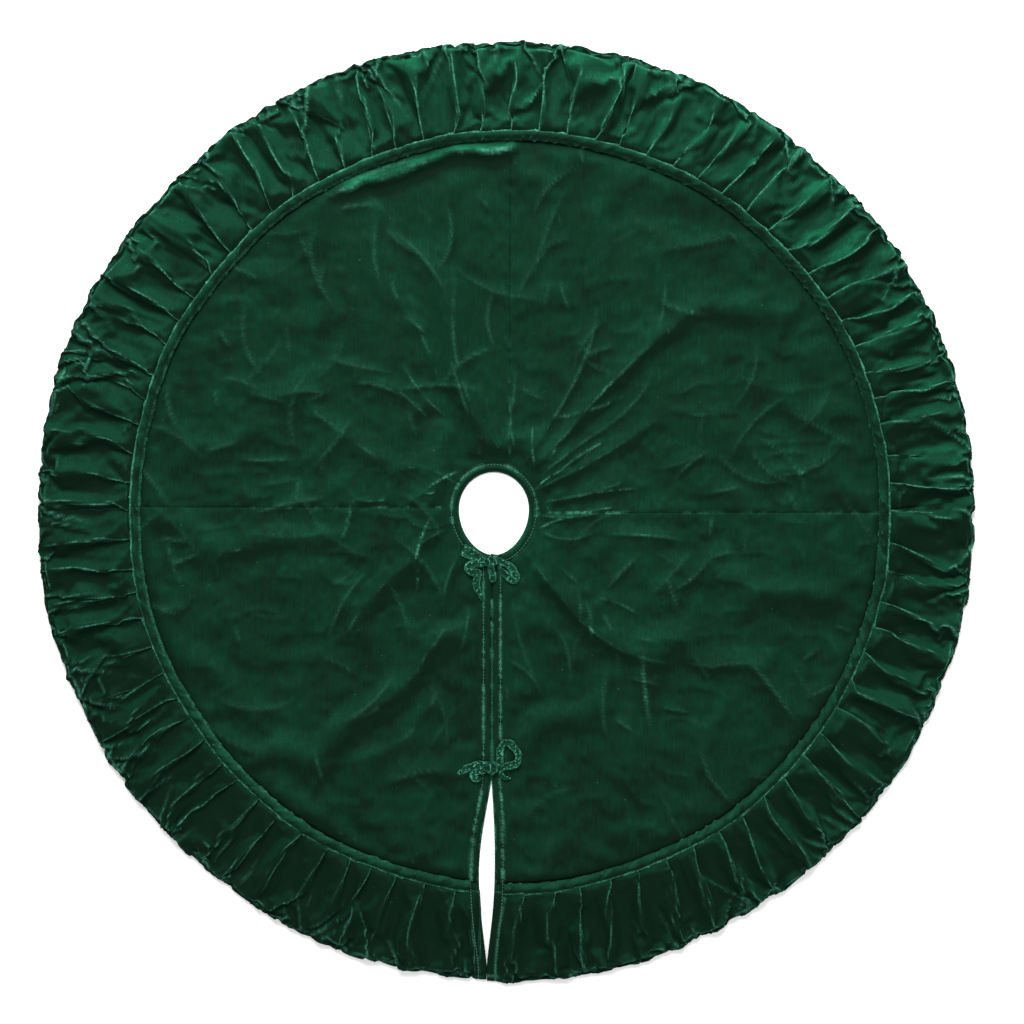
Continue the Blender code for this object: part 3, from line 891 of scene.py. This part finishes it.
def seam_highlights(x, y):
    """Painted highlight dashes where the velvet turns down into its seams, and along the slit and the hole.
    """
    left = np.where(x < HOLE.x, np.abs(y - SEAM_Y[-1]), 1)
    right = np.where(x >= HOLE.x, np.abs(y - SEAM_Y[1]), 1)
    back = np.where(y > HOLE.y, np.abs(x), 1)
    near = np.clip(1 - (np.hypot(x, y) - 0.07) / 0.22, 0.25, 1)
    total = 0
    for gap, run, light in ((left, x, 0.50), (right, x + 3, 0.45), (back, y, 0.16)):
        dashes = wave(run, 9 * MM, 83) + 0.5 * wave(run, 3.5 * MM, 84)
        dashes = smoothstep(dashes + 0.7 * wave(run, 55 * MM, 92), 0.1, 0.9)
        total = total + light * near * dashes * bell(gap, 1.6 * MM)
    inset = beside_slit(x, y)
    spark = smoothstep(wave(y, 5 * MM, 85) + 0.8 * wave(y, 19 * MM, 90), -0.6, 0.8)
    slit = 0.62 * spark * bell(inset, 1.4 * MM)
    slit = slit + stitch_light(inset - SLIT_STITCH, y + 2 * np.sign(x - SLIT_TOP_X), 0.62)
    out = past_hole(x, y)
    about = np.arctan2(y - HOLE.y, x - HOLE.x) * HOLE_HALF_WIDTH
    past_slit = smoothstep(inset, 9 * MM, 12 * MM)
    few = mix(0.10, 1, smoothstep(wave(about, 17 * MM, 101), -0.15, 0.35))
    below = (y < HOLE.y) & (out > 4 * MM)
    stitches = stitch_light(out - HOLE_STITCH, about, 0.55) * past_slit * few
    hole = 0.08 * bell(out, 1.5 * MM) + stitches
    return total + np.where(below, slit * smoothstep(out, 4 * MM, 9 * MM), 0) + hole


def stitch_light(off, run, light):
    """The broken painted highlight line along the velvet that a row of stitches pinches up."""
    broken = smoothstep(wave(run, 3.4 * MM, 86) + 0.8 * wave(run, 24 * MM, 89), -0.75, 0.45)
    return light * broken * bell(off, 1.4 * MM)


def make_panels(look, drift):
    for where, (side, half) in QUARTERS.items():
        plan = quarter_plan(side, half, *PANEL_GRID, PANEL_R + 1.5 * MM)
        x, y = plan[..., 0], plan[..., 1]
        grid = raised(plan, disc_height(x, y))
        grid = grid + cubic(drift, (x + SIM_EDGE) / SIM_CELL, (y + SIM_EDGE) / SIM_CELL)
        grid[..., 2] = np.maximum(grid[..., 2], VELVET_LOW)
        # Painted light and shade from the mesh's shape, with a little more painted light towards the far
        # side.
        looks = painted_shading(grid, 55, 280, 0.56, 0.10)
        roll, shade, streak_highlight = rolled_fold(x, y)
        patchy = smoothstep(noise(x, y, 30 * MM, 87) + 0.4 * noise(x, y, 8 * MM, 88), -0.05, 0.75)
        # Painted light on the roll's top and painted shade below it.
        looks["painted_light"] = looks["painted_light"] + 0.78 * roll * mix(0.75, 1.15, patchy) - 0.6 * shade
        hem = beside_slit(x, y)
        plain = np.where(y < HOLE.y, smoothstep(hem, 14 * MM, 20 * MM), 1)
        plain = plain * smoothstep(past_hole(x, y), 12 * MM, 20 * MM)
        # Painted highlights: the seams' dashes, the creases' crests and the roll's streaks.
        lines = seam_highlights(x, y) + creases(x, y)[1] + short_creases(x, y)[1] * plain
        lines = lines + 0.10 * patchy * smoothstep(roll, 0.65, 1.0) + 0.75 * streak_highlight
        looks["crest"] = np.clip(np.maximum(looks["crest"] * 0.75 * patchy * plain, lines), 0, 1)
        edge = PANEL_R - np.hypot(x, y)
        # Painted shadow of the piping along the disc's edge, and painted shade below the roll.
        piping_shadow = mix(0.35, 1, smoothstep(noise(x, y, 55 * MM, 94), -0.5, 0.4))
        piping_shadow = piping_shadow * bell(edge, 9 * MM)
        looks["hollow_shade"] = np.maximum(looks["hollow_shade"], np.maximum(piping_shadow * (1 - roll), 0.9 * shade))
        obj = cloth_piece(f"velvet_panel_{where}", grid, look, VELVET_T, looks)
        dress(obj, f"panel_{where}")


def stitch_run(line):
    """Separate stitches along a line: each rises from the cloth, bends over and goes back in."""
    dense = resample(line, STITCH_PITCH / 8)
    half = np.full(7, STITCH_HALF)
    arch = np.sin(np.linspace(0, math.pi, 7)) * 1.0 * MM - 0.1 * MM
    grids = []
    for first in range(0, len(dense) - 7, 8):
        path = dense[first : first + 7].copy()
        path[:, 2] += arch
        grids.append(tube_grid(path, np.gradient(path, axis=0), half, half, 6))
    return grids


def slit_stitch_line(side, ruffle):
    """Along the slit's topstitching, over the disc and on across the ruffle's hem."""
    top = hole_point(-math.pi / 2)[1] - HOLE_STITCH - 2 * MM
    y = np.linspace(top, -PANEL_R + 1 * MM, 400)
    x = slit_edge(side, y, SLIT_STITCH)
    line = np.stack([x, y, disc_height(x, y)], -1)
    hem = []
    for row in ruffle:
        inset = side * (row[:, 0] - slit_edge(side, row[:, 1]))
        order = np.argsort(inset)
        hem.append([np.interp(SLIT_STITCH, inset[order], row[order, i]) for i in range(3)])
    return np.concatenate([line, np.array(hem)])


def make_stitches(look, drift):
    """The dashes of thread round the hole and down both sides of the slit."""
    gap = math.asin((SLIT_STITCH + 1 * MM) / (HOLE_HALF_WIDTH + HOLE_STITCH))
    arcs = {
        "back": (HOLE_LEVEL, math.pi - HOLE_LEVEL),
        "front_left": (math.pi - HOLE_LEVEL, 1.5 * math.pi - gap),
        "front_right": (-math.pi / 2 + gap, HOLE_LEVEL),
    }
    for where, (start, end) in arcs.items():
        plan = hole_point(np.linspace(start, end, 200), HOLE_STITCH)
        line = raised(plan, disc_height(plan[:, 0], plan[:, 1]))
        obj = tubes_object(f"stitches_hole_{where}", stitch_run(line), look)
        dress(obj, f"topstitch_hole_{where}")
    for side, where, quarter, columns in ((1, "right", 0, slice(0, 30)), (-1, "left", 3, slice(-30, None))):
        rows = ruffle_grid(quarter, drift)[0][2:RUFFLE_ROWS, columns]
        obj = tubes_object(f"stitches_slit_{where}", stitch_run(slit_stitch_line(side, rows)), look)
        dress(obj, f"topstitch_slit_{where}", "front_half")


# The back cloth, the hole's binding and the slit's hems.


def make_lining(look):
    """The cotton under the velvet, with its seams, small wrinkles and the puckers of its hem."""
    for where, (side, half) in QUARTERS.items():
        plan = quarter_plan(side, half, *LINING_GRID, LINING_R + 3 * MM, 1.4)
        x, y = plan[..., 0], plan[..., 1]
        radius = np.hypot(x, y)
        slack = smoothstep(np.abs(radius - PIPING_R), 10 * MM, 26 * MM)
        slack = slack * smoothstep(past_hole(x, y), 15 * MM, 30 * MM)
        by_slit = smoothstep(np.abs(x - slit_edge(side, y)), 14 * MM, 30 * MM)
        slack = slack * np.where(y < HOLE.y, by_slit, 1)
        wrinkles = 1.6 * MM * np.exp(-np.abs(noise(x, y, 0.06, 33)) / 0.2)
        wrinkles = (wrinkles + 0.4 * MM * np.abs(noise(x, y, 0.014, 37))) * slack
        arc = np.arctan2(y, x) % (2 * math.pi) * LINING_R
        puckers = 0.7 * MM * np.abs(noise(arc, radius, 7 * MM, 35))
        puckers = puckers * bell(LINING_R - 3 * MM - radius, 9 * MM)
        seam = np.abs(y - np.where(x > 0, SEAM_Y[1], SEAM_Y[-1]))
        seam = np.minimum(np.where(y > 0, np.abs(x), 1), seam)
        groove = 0.7 * MM * bell(seam, 2.5 * MM) + 0.5 * MM * bell(radius - LINING_SEAM_R, 1.6 * MM)
        height = np.minimum(wrinkles + puckers + groove, 1.5 * MM)
        grid = raised(plan, height)
        obj = cloth_piece(f"lining_cloth_{where}", grid, look, LINING_T, offset=1)
        dress(obj, f"lining_{where}")


def strip_section(across):
    """The height over a folded strip of velvet, rolled at its inner edge and thin at its outer one."""
    roll = np.sqrt(np.clip(1 - ((across - 1.2 * MM) / (1.3 * MM)) ** 2, 0, 1))
    return 1.6 * MM + 0.8 * MM * roll * (across < 2.5 * MM)


def make_hole_binding(look):
    arcs = {
        "back": (HOLE_LEVEL, math.pi - HOLE_LEVEL),
        "front_left": (math.pi - HOLE_LEVEL, float(hole_ends(-1, -1)[1])),
        "front_right": (float(hole_ends(1, -1)[0]), HOLE_LEVEL),
    }
    across = np.linspace(0, FACING_W, 12)
    for where, (start, end) in arcs.items():
        angle = np.linspace(start, end, 90)
        plan = np.stack([hole_point(angle, a) for a in across])
        height = np.broadcast_to(strip_section(across)[:, None], plan.shape[:2])
        height = height + 0.15 * MM * noise(angle[None] * 0.05, across[:, None], 3 * MM, 45)
        grid = raised(plan, height)
        obj = cloth_piece(f"hole_binding_{where}", grid, look, STRIP_T, painted_shading(grid, 300, 900))
        dress(obj, f"hole_facing_{where}")


def make_slit_hems(look):
    across = np.linspace(0, PLACKET_W, 12)
    for side, where in ((-1, "left"), (1, "right")):
        top = hole_point(-math.pi / 2)[1] - FACING_W
        y = np.linspace(top, -LINING_R, 180)[:, None]
        x = slit_edge(side, y, across[None])
        height = strip_section(across)[None] + 0.15 * MM * noise(y, across[None], 4 * MM, 47)
        grid = np.stack([x, np.broadcast_to(y, x.shape), height], -1)
        if side < 0:
            grid = grid[:, ::-1]
        obj = cloth_piece(f"slit_hem_{where}", grid, look, STRIP_T, painted_shading(grid, 300, 900))
        dress(obj, f"placket_{where}", "front_half")


# The ruffle.


def pleat_profile(share, height, nose, lap):
    """One knife pleat: across (0 to 1 of its pitch) and up, with the fold's nose over its lap."""
    rise = np.clip(share / 0.66, 0, 1)
    turn = np.clip((share - 0.66) / 0.18, 0, 1)
    back = np.clip((share - 0.84) / 0.16, 0, 1)
    across = mix(0, 1, rise) + nose * np.sin(turn * math.pi) - lap * back
    puff = np.sin(rise * math.pi / 2) ** 0.9
    up = height * puff - (1 - np.cos(turn * math.pi)) / 2 * height * 0.35 - back * height * 0.65
    return across, up


def ruffle_angle(q, radius):
    """The angle of a place along the ruffle, where q counts pleats from the slit round to the slit."""
    start, end = slit_angle(1, radius, 0.3 * MM), slit_angle(-1, radius, 0.3 * MM)
    quarter = np.clip(q / PLEATS, 0, 4)
    marks = [start, 0, math.pi / 2, math.pi, end]
    angle = 0
    for i in range(4):
        share = np.clip(quarter - i, 0, 1)
        angle = angle + (marks[i + 1] - marks[i]) * share
    return start + angle


def ruffle_points(q, out, sharp):
    """The ruffle at q pleats from the slit, and out from the piping (0) to the rim (1) and under (2).

    The knife pleats at the piping loosen into gathers at the rim. Sharp is 1 with the pleats' folds
    and 0 for the plain puffed strip. Also returns the painted highlight on the folds' edges, the
    gathers, the rim and the stitching, and the painted shade beside the folds and along the rim.
    """
    total = 4 * PLEATS
    pleat = np.floor(q).astype(int)
    share = q - pleat
    chance = np.random.default_rng(3)
    slant = chance.uniform(-0.55, 0.55, total + 2)
    jog = chance.uniform(-0.16, 0.16, total + 2)
    length = chance.uniform(0.28, 0.80, total + 2)[pleat]
    height = chance.uniform(0.75, 1.35, total + 2)[pleat]
    glow = chance.uniform(0.30, 1.0, total + 2)[pleat]
    slant[[0, total]] = 0
    jog[[0, total]] = 0

    over, under = np.clip(out, 0, 1), np.clip(out - 1, 0, 1)
    turn = math.pi * over
    middle, half_width = (RUFFLE_IN_R + SKIRT_R) / 2, (SKIRT_R - RUFFLE_IN_R) / 2
    radius = middle - half_width * np.cos(turn) + (HEM_R - SKIRT_R) * under
    from_rim = half_width * (1 + np.cos(turn)) + SKIRT_R * under
    puff = np.sin(turn) ** 0.75
    pitch = 2 * math.pi * SKIRT_R / total
    from_slit = np.minimum(q, total - q) * pitch
    hemmed = 1 - smoothstep(from_slit, 9 * MM, 30 * MM)
    crown = (RUFFLE_CROWN - RUFFLE_EDGE_Z) * puff * mix(1.0, 0.9, over) * mix(1, 0.45, hemmed)
    crown = RUFFLE_EDGE_Z + crown

    open_up = np.maximum(smoothstep(over, 0.25 * length, length), 1 - sharp)
    fold_x, fold_z = pleat_profile(share, 1.0, 0.035, 0.10)
    soft_z = 0.5 - 0.5 * np.cos(2 * math.pi * (share - 0.2))
    across = mix(fold_x, share, open_up)
    lift = mix(fold_z, soft_z, open_up)
    pleat_height = height * mix(4.5 * MM, 9.0 * MM, smoothstep(over, 0, 0.45))
    pleat_height = pleat_height * (1 - 0.5 * smoothstep(over, 0.55, 1))
    low = np.clip(pleat, 0, total)
    sway = mix(slant[low], slant[low + 1], share) * over**1.6 + mix(jog[low], jog[low + 1], share)
    at = np.clip(pleat + across + sway * (1 - hemmed), 0, total)
    arc = at * pitch

    gathers, gather_light, gather_shade = gather_folds(arc, over * 2 * half_width * 1.15)
    drawn = arc + 14 * MM * noise(arc, over * 0.1, 0.07, 66)
    soft = 2.0 * MM * fractal(drawn, over * 0.07, 0.040, 61)
    soft = soft + 1.5 * MM * fractal(drawn, over * 0.035, 0.013, 65, 2)
    soft = soft + 1.6 * MM * ridge(noise(drawn, over * 0.05, 20 * MM, 67), 0.14, 0.14, 0.03)
    tiny = ridge(noise(arc, from_rim * 0.3, 10 * MM, 99), 0.22, 0.22, 0.05)
    tiny = tiny * np.exp(-from_rim / (20 * MM))
    soft = soft + 0.8 * MM * tiny * smoothstep(from_rim, 0, 8 * MM)
    folds = (lift - 0.4) * pleat_height + gathers + soft * puff
    top = crown + folds * (1 - under) * mix(1, 0.25, hemmed)
    groove = bell(from_rim - RIM_STITCH, 1.6 * MM) + bell(from_slit - SLIT_STITCH, 1.5 * MM)
    top = top - 1.6 * MM * groove * (1 - under)
    pucker = noise(arc, from_rim, 12 * MM, 95) * np.exp(-from_rim / (11 * MM))
    top = top + 0.9 * MM * pucker * (1 - under)
    about = ruffle_angle(at, radius)
    off_centre = 1.5 * MM * np.sin(about) - 4.5 * MM * np.cos(about)
    radius = radius + (rim_shape(arc) + off_centre) * smoothstep(over, 0.55, 1.0) * (1 - under)
    top = mix(top, 1.2 * MM + 0.5 * MM * wave(arc, 9 * MM, 71), smoothstep(under, 0, 0.7))
    top = np.maximum(top, 0.9 * MM)
    theta = ruffle_angle(at, radius)
    points = np.stack([radius * np.cos(theta), radius * np.sin(theta), top], -1)

    # Painted shade: beside each fold's nose, in the gathers' hollows, along the rim and just past each
    # fold.
    deep = bell(share - FOLD_AT - 0.12, 0.07) * (1 - open_up) * smoothstep(over, 0.0, 0.20)
    deep = np.maximum(deep, gather_shade * smoothstep(from_rim, 2 * MM, 9 * MM) * (1 - hemmed))
    deep = np.maximum(deep, 0.95 * bell(from_rim, 5 * MM))
    deep = np.maximum(deep, 0.65 * np.exp(-share / 0.09) * (1 - open_up) * smoothstep(over, 0.0, 0.20))
    # Painted highlights: the folds' edges, the rim's stitching, the gathers' crests and the slit's
    # stitching.
    run = over * 2 * half_width
    spark = 0.72 + 0.28 * noise(run, pleat * 7 * MM, 5 * MM, 98)
    edge = bell(share - FOLD_AT, 0.020) * (1 - open_up) * spark * glow
    rim_light = smoothstep(wave(arc, 60 * MM, 96) + 0.7 * wave(arc, 9 * MM, 97), -0.15, 0.60)
    edge = np.maximum(edge, 0.7 * rim_light * bell(from_rim - RIM_STITCH, 1.5 * MM))
    edge = np.maximum(edge, 0.75 * gather_light * smoothstep(from_rim, 2 * MM, 6 * MM) * (1 - hemmed))
    edge = np.maximum(edge, stitch_light(from_slit - SLIT_STITCH, run + q, 0.55))
    return points, edge, deep


def ruffle_grid(quarter, drift):
    """A fine grid of one quarter of the ruffle, closest at the folds, moved as the simulated strip was.

    Also returns the painted highlights and painted shade, as ruffle_points does.
    """
    step = np.arange(PLEATS * PLEAT_STEPS + 1)[None] / PLEAT_STEPS
    closer = 0.45 / (2 * math.pi)
    bunched = np.sin(2 * math.pi * (step % 1 - FOLD_AT)) + math.sin(2 * math.pi * FOLD_AT)
    share = step % 1 - closer * bunched
    q = quarter * PLEATS + np.floor(step) + share
    under = 1 + np.linspace(0, 1, HEM_ROWS + 1)[1:]
    out = np.concatenate([np.linspace(0, 1, RUFFLE_ROWS) ** 0.9, under])[:, None]
    points, edge, deep = ruffle_points(q, out, 1)
    rows = np.clip(out, 0, 1) * (SIM_ROWS - 1) + 0 * q
    free = smoothstep(out, 0.05, 0.40) * smoothstep(np.minimum(q, 4 * PLEATS - q), 0.2, 1.0)
    rim = np.hypot(points[RUFFLE_ROWS - 1, :, 0], points[RUFFLE_ROWS - 1, :, 1]) + 0.5 * MM
    points = points + cubic(drift, rows, q * SIM_STEPS + 0 * out) * free[..., None]
    radius = np.hypot(points[..., 0], points[..., 1])
    points[..., :2] *= np.minimum(1, rim / radius)[..., None]
    points[..., 2] = np.maximum(points[..., 2], 0.9 * MM)
    return points, edge, deep


def gather_folds(arc, away):
    """Folds that run in from the notches of the stitched rim: curved, crossing, steep on one side.

    Returns their height, the light along their crests and the shade in the hollows beside them.
    """
    reach = 2 * math.pi * SKIRT_R
    span = (SKIRT_R - RUFFLE_IN_R) * 1.15
    place = np.arange(0, reach, 1 * MM)
    pull = wave(place, RIM_BULGE, 91)
    notches = place[1:][pull[1:] * pull[:-1] < 0]
    between = ((notches[1:] + notches[:-1]) / 2)[np.diff(notches) > 24 * MM]
    chance = np.random.default_rng(17)
    total, light, shade = 0, 0, 0
    for number, position in enumerate(np.sort(np.concatenate([notches, between]))):
        position += chance.uniform(-3, 3) * MM
        length, height = chance.uniform(30, 92) * MM, chance.uniform(2.8, 6.0) * MM
        slant, bow = chance.uniform(-0.70, 0.70), chance.uniform(-7, 7)
        wide, glow = chance.uniform(3.2, 6.0) * MM, chance.uniform(0.15, 1.0)
        inward = np.clip(span - away, 0, None)
        off = arc - position - slant * inward - bow * inward**2
        fade = 1 - smoothstep(inward, 0.45 * length, length)
        total = total + height * ridge(off, wide * 0.45, wide * 1.5, 1.6 * MM) * fade
        total = total - 0.7 * height * ridge(off - wide * 1.3, wide * 0.9, wide * 0.6, 1.5 * MM) * fade
        broken = smoothstep(wave(inward, 15 * MM, number + 120), -0.7, 0.3)
        light = np.maximum(light, glow * fade * broken * bell(off, 1.6 * MM))
        shade = np.maximum(shade, 0.8 * fade * bell(off - wide * 1.2, 0.75 * wide))
    return total, light, shade


def rim_shape(arc):
    """How far the rim stands out. It bulges between the notches where the gathering pulls it in."""
    bulges = 5.2 * MM * (np.sqrt(np.abs(wave(arc, RIM_BULGE, 91)) + 0.002) - 0.60)
    return bulges - 0.8 * MM + wave(arc, 0.19, 93) * 2.5 * MM


def make_ruffle(look, drift):
    for quarter, where in enumerate(QUARTERS):
        grid, edge, deep = ruffle_grid(quarter, drift)
        # Painted light on slopes that face the key lamp, more towards the far side, darker overall.
        looks = painted_shading(grid, 130, 600, 0.82, 0.55, -0.15)
        # More painted light towards +X.
        looks["painted_light"] = looks["painted_light"] + 0.23 * grid[..., 0] / SKIRT_R
        looks["hollow_shade"] = np.maximum(looks["hollow_shade"], deep)
        # Painted highlights stronger towards the far side, where the key lamp stands.
        north = 0.70 + 0.30 * grid[..., 1] / SKIRT_R
        looks["crest"] = np.maximum(looks["crest"] * 0.65 * (1 - deep), edge) * north
        obj = cloth_piece(f"ruffle_cloth_{where}", grid, look, VELVET_T, looks)
        dress(obj, f"ruffle_{where}")


# The piping.


def make_piping(look, cord_look):
    seam = {side: math.asin(SEAM_Y[side] / PIPING_R) for side in (-1, 1)}
    ends = {side: float(slit_angle(side, PIPING_R, SLIT_STITCH + 1 * MM)) for side in (-1, 1)}
    arcs = {
        "front_right": (ends[1], seam[1]),
        "back": (seam[1], math.pi - seam[-1]),
        "front_left": (math.pi - seam[-1], ends[-1]),
    }
    for where, (start, end) in arcs.items():
        count = int((end - start) * PIPING_R / (2.6 * MM))
        angle = np.linspace(start, end, count)[:, None]
        turn = np.linspace(0, 2 * math.pi, TUBE_SIDES, endpoint=False)[None]
        run = angle * PIPING_R
        twist = noise(run + turn * 5 * MM, turn * 6 * MM, 8 * MM, 51) * 0.6 * MM
        wrinkle = np.exp(-np.abs(wave(run - turn * 9 * MM, 13 * MM, 52)) / 0.14) * 1.3 * MM
        thick = 5.6 * MM + twist + wrinkle
        sway = wave(run, 0.12, 53) * 1.8 * MM + wave(run, 0.04, 54) * 0.6 * MM
        radius = PIPING_R + sway + 1.28 * thick * np.cos(turn)
        height = PIPING_Z + 1.2 * MM + thick * np.where(turn < math.pi, 1.05, 0.85) * np.sin(turn)
        grid = np.stack([radius * np.cos(angle), radius * np.sin(angle), height], -1)
        # Strength of the painted highlight along the inner edge, stronger on the left.
        inner = 0.10 + 0.25 * np.clip(-np.cos(angle), 0, 1)
        looks = tube_painted_shading(grid, 230, 760, 1.35, inner, (0.65, 0.04))
        # Diagonal patches of painted light and shade along the twist.
        looks["painted_light"] = looks["painted_light"] + 0.32 * noise(run - turn * 8 * MM, turn * 4 * MM, 9 * MM, 55)
        # Painted shadow on the disc side of the piping.
        inner_shadow = 0.85 * smoothstep(-np.cos(turn), 0.45, 0.95) * (1 - inner)
        looks["hollow_shade"] = np.maximum(looks["hollow_shade"], inner_shadow)
        obj = tubes_object(f"piping_velvet_{where}", [grid], look, looks)
        dress(obj, f"piping_cover_{where}")
        middle = PIPING_R + sway + 3 * MM * np.cos(turn)
        level = PIPING_Z + 1.2 * MM + 3 * MM * np.sin(turn) + 0 * angle
        cord = np.stack([middle * np.cos(angle), middle * np.sin(angle), level], -1)[::3, ::2]
        obj = tubes_object(f"piping_filler_{where}", [cord], cord_look)
        dress(obj, f"piping_cord_{where}")


# The bows.


def tie_path(knot, side, outline, radius, rise):
    """A smooth path for a tie, lying on the velvet's stitching, with the middle of its loop raised."""
    points = [(knot.x + side * x * MM, knot.y + y * MM, TIE_LOW + radius) for x, y in outline]
    path = smooth(points, 12)
    share = np.linspace(0, 1, len(path))
    path[:, 2] += rise * np.sin(share * math.pi) ** 2
    return path


def soft_tube(path, radius, seed, end=0.5, open_end=True):
    """A tube of velvet with creases where it bends. Its free end is open: it turns back into itself.

    End is its width at the far end compared with the start.
    """
    run = lengths_along(path)
    swell = 1 + 0.10 * wave(run, 7 * MM, seed)
    swell = swell * mix(1, end, smoothstep(run / run[-1], 0.0 if end > 1 else 0.72, 1.0))
    swell = swell * mix(0.35, 1, smoothstep(run, 0, 7 * MM))
    wide, high = radius * 1.85 * swell, radius * 0.80 / np.clip(swell, 0.9, 1.3)
    if open_end:
        inside = path[-1] + (path[-3] - path[-1]) * np.array([0.0, 0.5, 1.0])[:, None]
        path = np.concatenate([path, inside])
        wide = np.concatenate([wide, wide[-1] * np.array([0.8, 0.7, 0.6])])
        high = np.concatenate([high, high[-1] * np.array([0.7, 0.55, 0.4])])
    along = np.gradient(path, axis=0)
    if open_end:
        along[-4:] = path[-4] - path[-6]
    grid = tube_grid(path, along, wide, high, TUBE_SIDES)
    run = lengths_along(path)[:, None]
    angle = np.linspace(0, 2 * math.pi, TUBE_SIDES, endpoint=False)[None]
    crumple = 0.9 * MM * noise(run + angle * 2 * MM, angle * 4 * MM, 4.5 * MM, seed + 1)
    centre = grid.mean(1, keepdims=True)
    away = grid - centre
    away /= np.linalg.norm(away, axis=-1, keepdims=True) + 1e-9
    return grid + away * crumple[..., None]


def knot_form(knot, turn):
    """The wrapped middle of a bow: a fat roll, pinched where the wrap crosses it."""
    t = np.linspace(-0.985, 0.985, 40)
    angle = np.linspace(0, 2 * math.pi, 32, endpoint=False)
    t, angle = np.meshgrid(t, angle, indexing="ij")
    body = np.sqrt(1 - np.abs(t) ** 2.6)
    slant = t - 0.22 * np.sin(angle) - 0.08
    wrap = 1.8 * MM * np.exp(-((slant / 0.34) ** 4))
    wrap = wrap - 1.1 * MM * bell(np.abs(slant) - 0.42, 0.09)
    crumple = 1.1 * MM * noise(t * 8 * MM, angle * 4 * MM, 3.5 * MM, 63)
    thick = 5.4 * MM * body + (wrap + crumple) * body
    x, y = t * 9.5 * MM, thick * 1.15 * np.cos(angle)
    level = TIE_LOW + 5.6 * MM + thick * np.sin(angle)
    return np.stack([
        knot.x + x * math.cos(turn) - y * math.sin(turn),
        knot.y + x * math.sin(turn) + y * math.cos(turn),
        level,
    ], -1)


def make_knot(high, stems, turn, look):
    """A knot, with the stems of its two ties running to where they are sewn on."""
    knot = KNOTS[high]
    grids = [knot_form(knot, turn)]
    for number, (end, stem) in enumerate(stems):
        path = tie_path(knot, 1, stem, STEM_R, 0)
        grids.append(soft_tube(path, STEM_R, 71 + number, end, open_end=False))
    looks = [tube_painted_shading(grid, 260, 900, 0.4, 0.4, (0.6, 0.14)) for grid in grids]
    joined = {key: np.concatenate([part[key].ravel() for part in looks]) for key in looks[0]}
    obj = tubes_object(f"bow_knot_{high}", grids, look, joined)
    dress(obj, f"knot_{high}", "front_half")


def make_bows(look):
    make_knot("upper", UPPER_STEMS, 0.13, look)
    make_knot("lower", LOWER_STEMS, -0.10, look)
    for number, (name, (high, side, node, outline)) in enumerate(TIES.items()):
        path = tie_path(KNOTS[high], side, outline, TIE_R, 2.0 * MM)
        grid = soft_tube(path, TIE_R, 101 + 3 * number)
        looks = tube_painted_shading(grid, 260, 900, 0.45, 0.45, (0.6, 0.12))
        obj = tubes_object(f"bow_{name}", [grid], look, looks)
        dress(obj, node, "_".join(name.split("_")[:2]) + "_tie")


# Camera, light and floor.


def make_studio():
    scene = bpy.context.scene
    scene.view_settings.view_transform = "Standard"
    scene.view_settings.look = "None"
    floor_look = Nodes("studio_floor")
    paper = floor_look.noise(3, 1)
    floor = bpy.data.meshes.new("floor")
    reach = 12
    corners = [(-reach, -reach, 0), (reach, -reach, 0), (reach, reach, 0), (-reach, reach, 0)]
    floor.from_pydata(corners, [], [(0, 1, 2, 3)])
    white = floor_look.mix(paper, (0.93, 0.93, 0.93), (0.95, 0.95, 0.95))
    floor.materials.append(floor_look.finish(white, 0.9))
    obj = bpy.data.objects.new("floor", floor)
    obj.location.z = -0.2 * MM
    scene.collection.objects.link(obj)

    world = bpy.data.worlds.new("studio")
    world.use_nodes = True
    world.node_tree.nodes["Background"].inputs[0].default_value = (1, 1, 1, 1)
    world.node_tree.nodes["Background"].inputs[1].default_value = 0.58
    scene.world = world
    area_light("key", (-0.3, 2.2, 2.8), 2.2, 185)
    area_light("fill", (0.8, -2.0, 2.6), 2.6, 45)

    camera = bpy.data.cameras.new("camera")
    camera.lens = 85
    camera.sensor_width = 36
    obj = bpy.data.objects.new("camera", camera)
    obj.location = (2.6 * MM, 0, 3.15)
    scene.collection.objects.link(obj)
    scene.camera = obj


def area_light(name, place, size, power):
    light = bpy.data.lights.new(name, "AREA")
    light.shape = "DISK"
    light.size = size
    light.energy = power
    obj = bpy.data.objects.new(name, light)
    obj.location = place
    obj.rotation_euler = (-Vector(place)).to_track_quat("-Z", "Y").to_euler()
    bpy.context.scene.collection.objects.link(obj)


velvet = velvet_material("velvet")
cord_look = thread_material("cotton_cord", (0.42, 0.39, 0.33), (0.62, 0.59, 0.52))
thread_look = thread_material("polyester_thread", (0.010, 0.055, 0.034), (0.028, 0.125, 0.083))
lining_look = weave_material("lining_cotton", (0.0060, 0.0300, 0.0170), (0.0120, 0.0560, 0.0330), 1500)
ruffle_drift = slack_ruffle()
make_panels(velvet, slack_disc())
make_stitches(thread_look, ruffle_drift)
make_lining(lining_look)
make_hole_binding(velvet)
make_slit_hems(velvet)
make_ruffle(velvet, ruffle_drift)
make_piping(velvet, cord_look)
make_bows(velvet_material("velvet_ties", 0.06, 0.55))
make_studio()
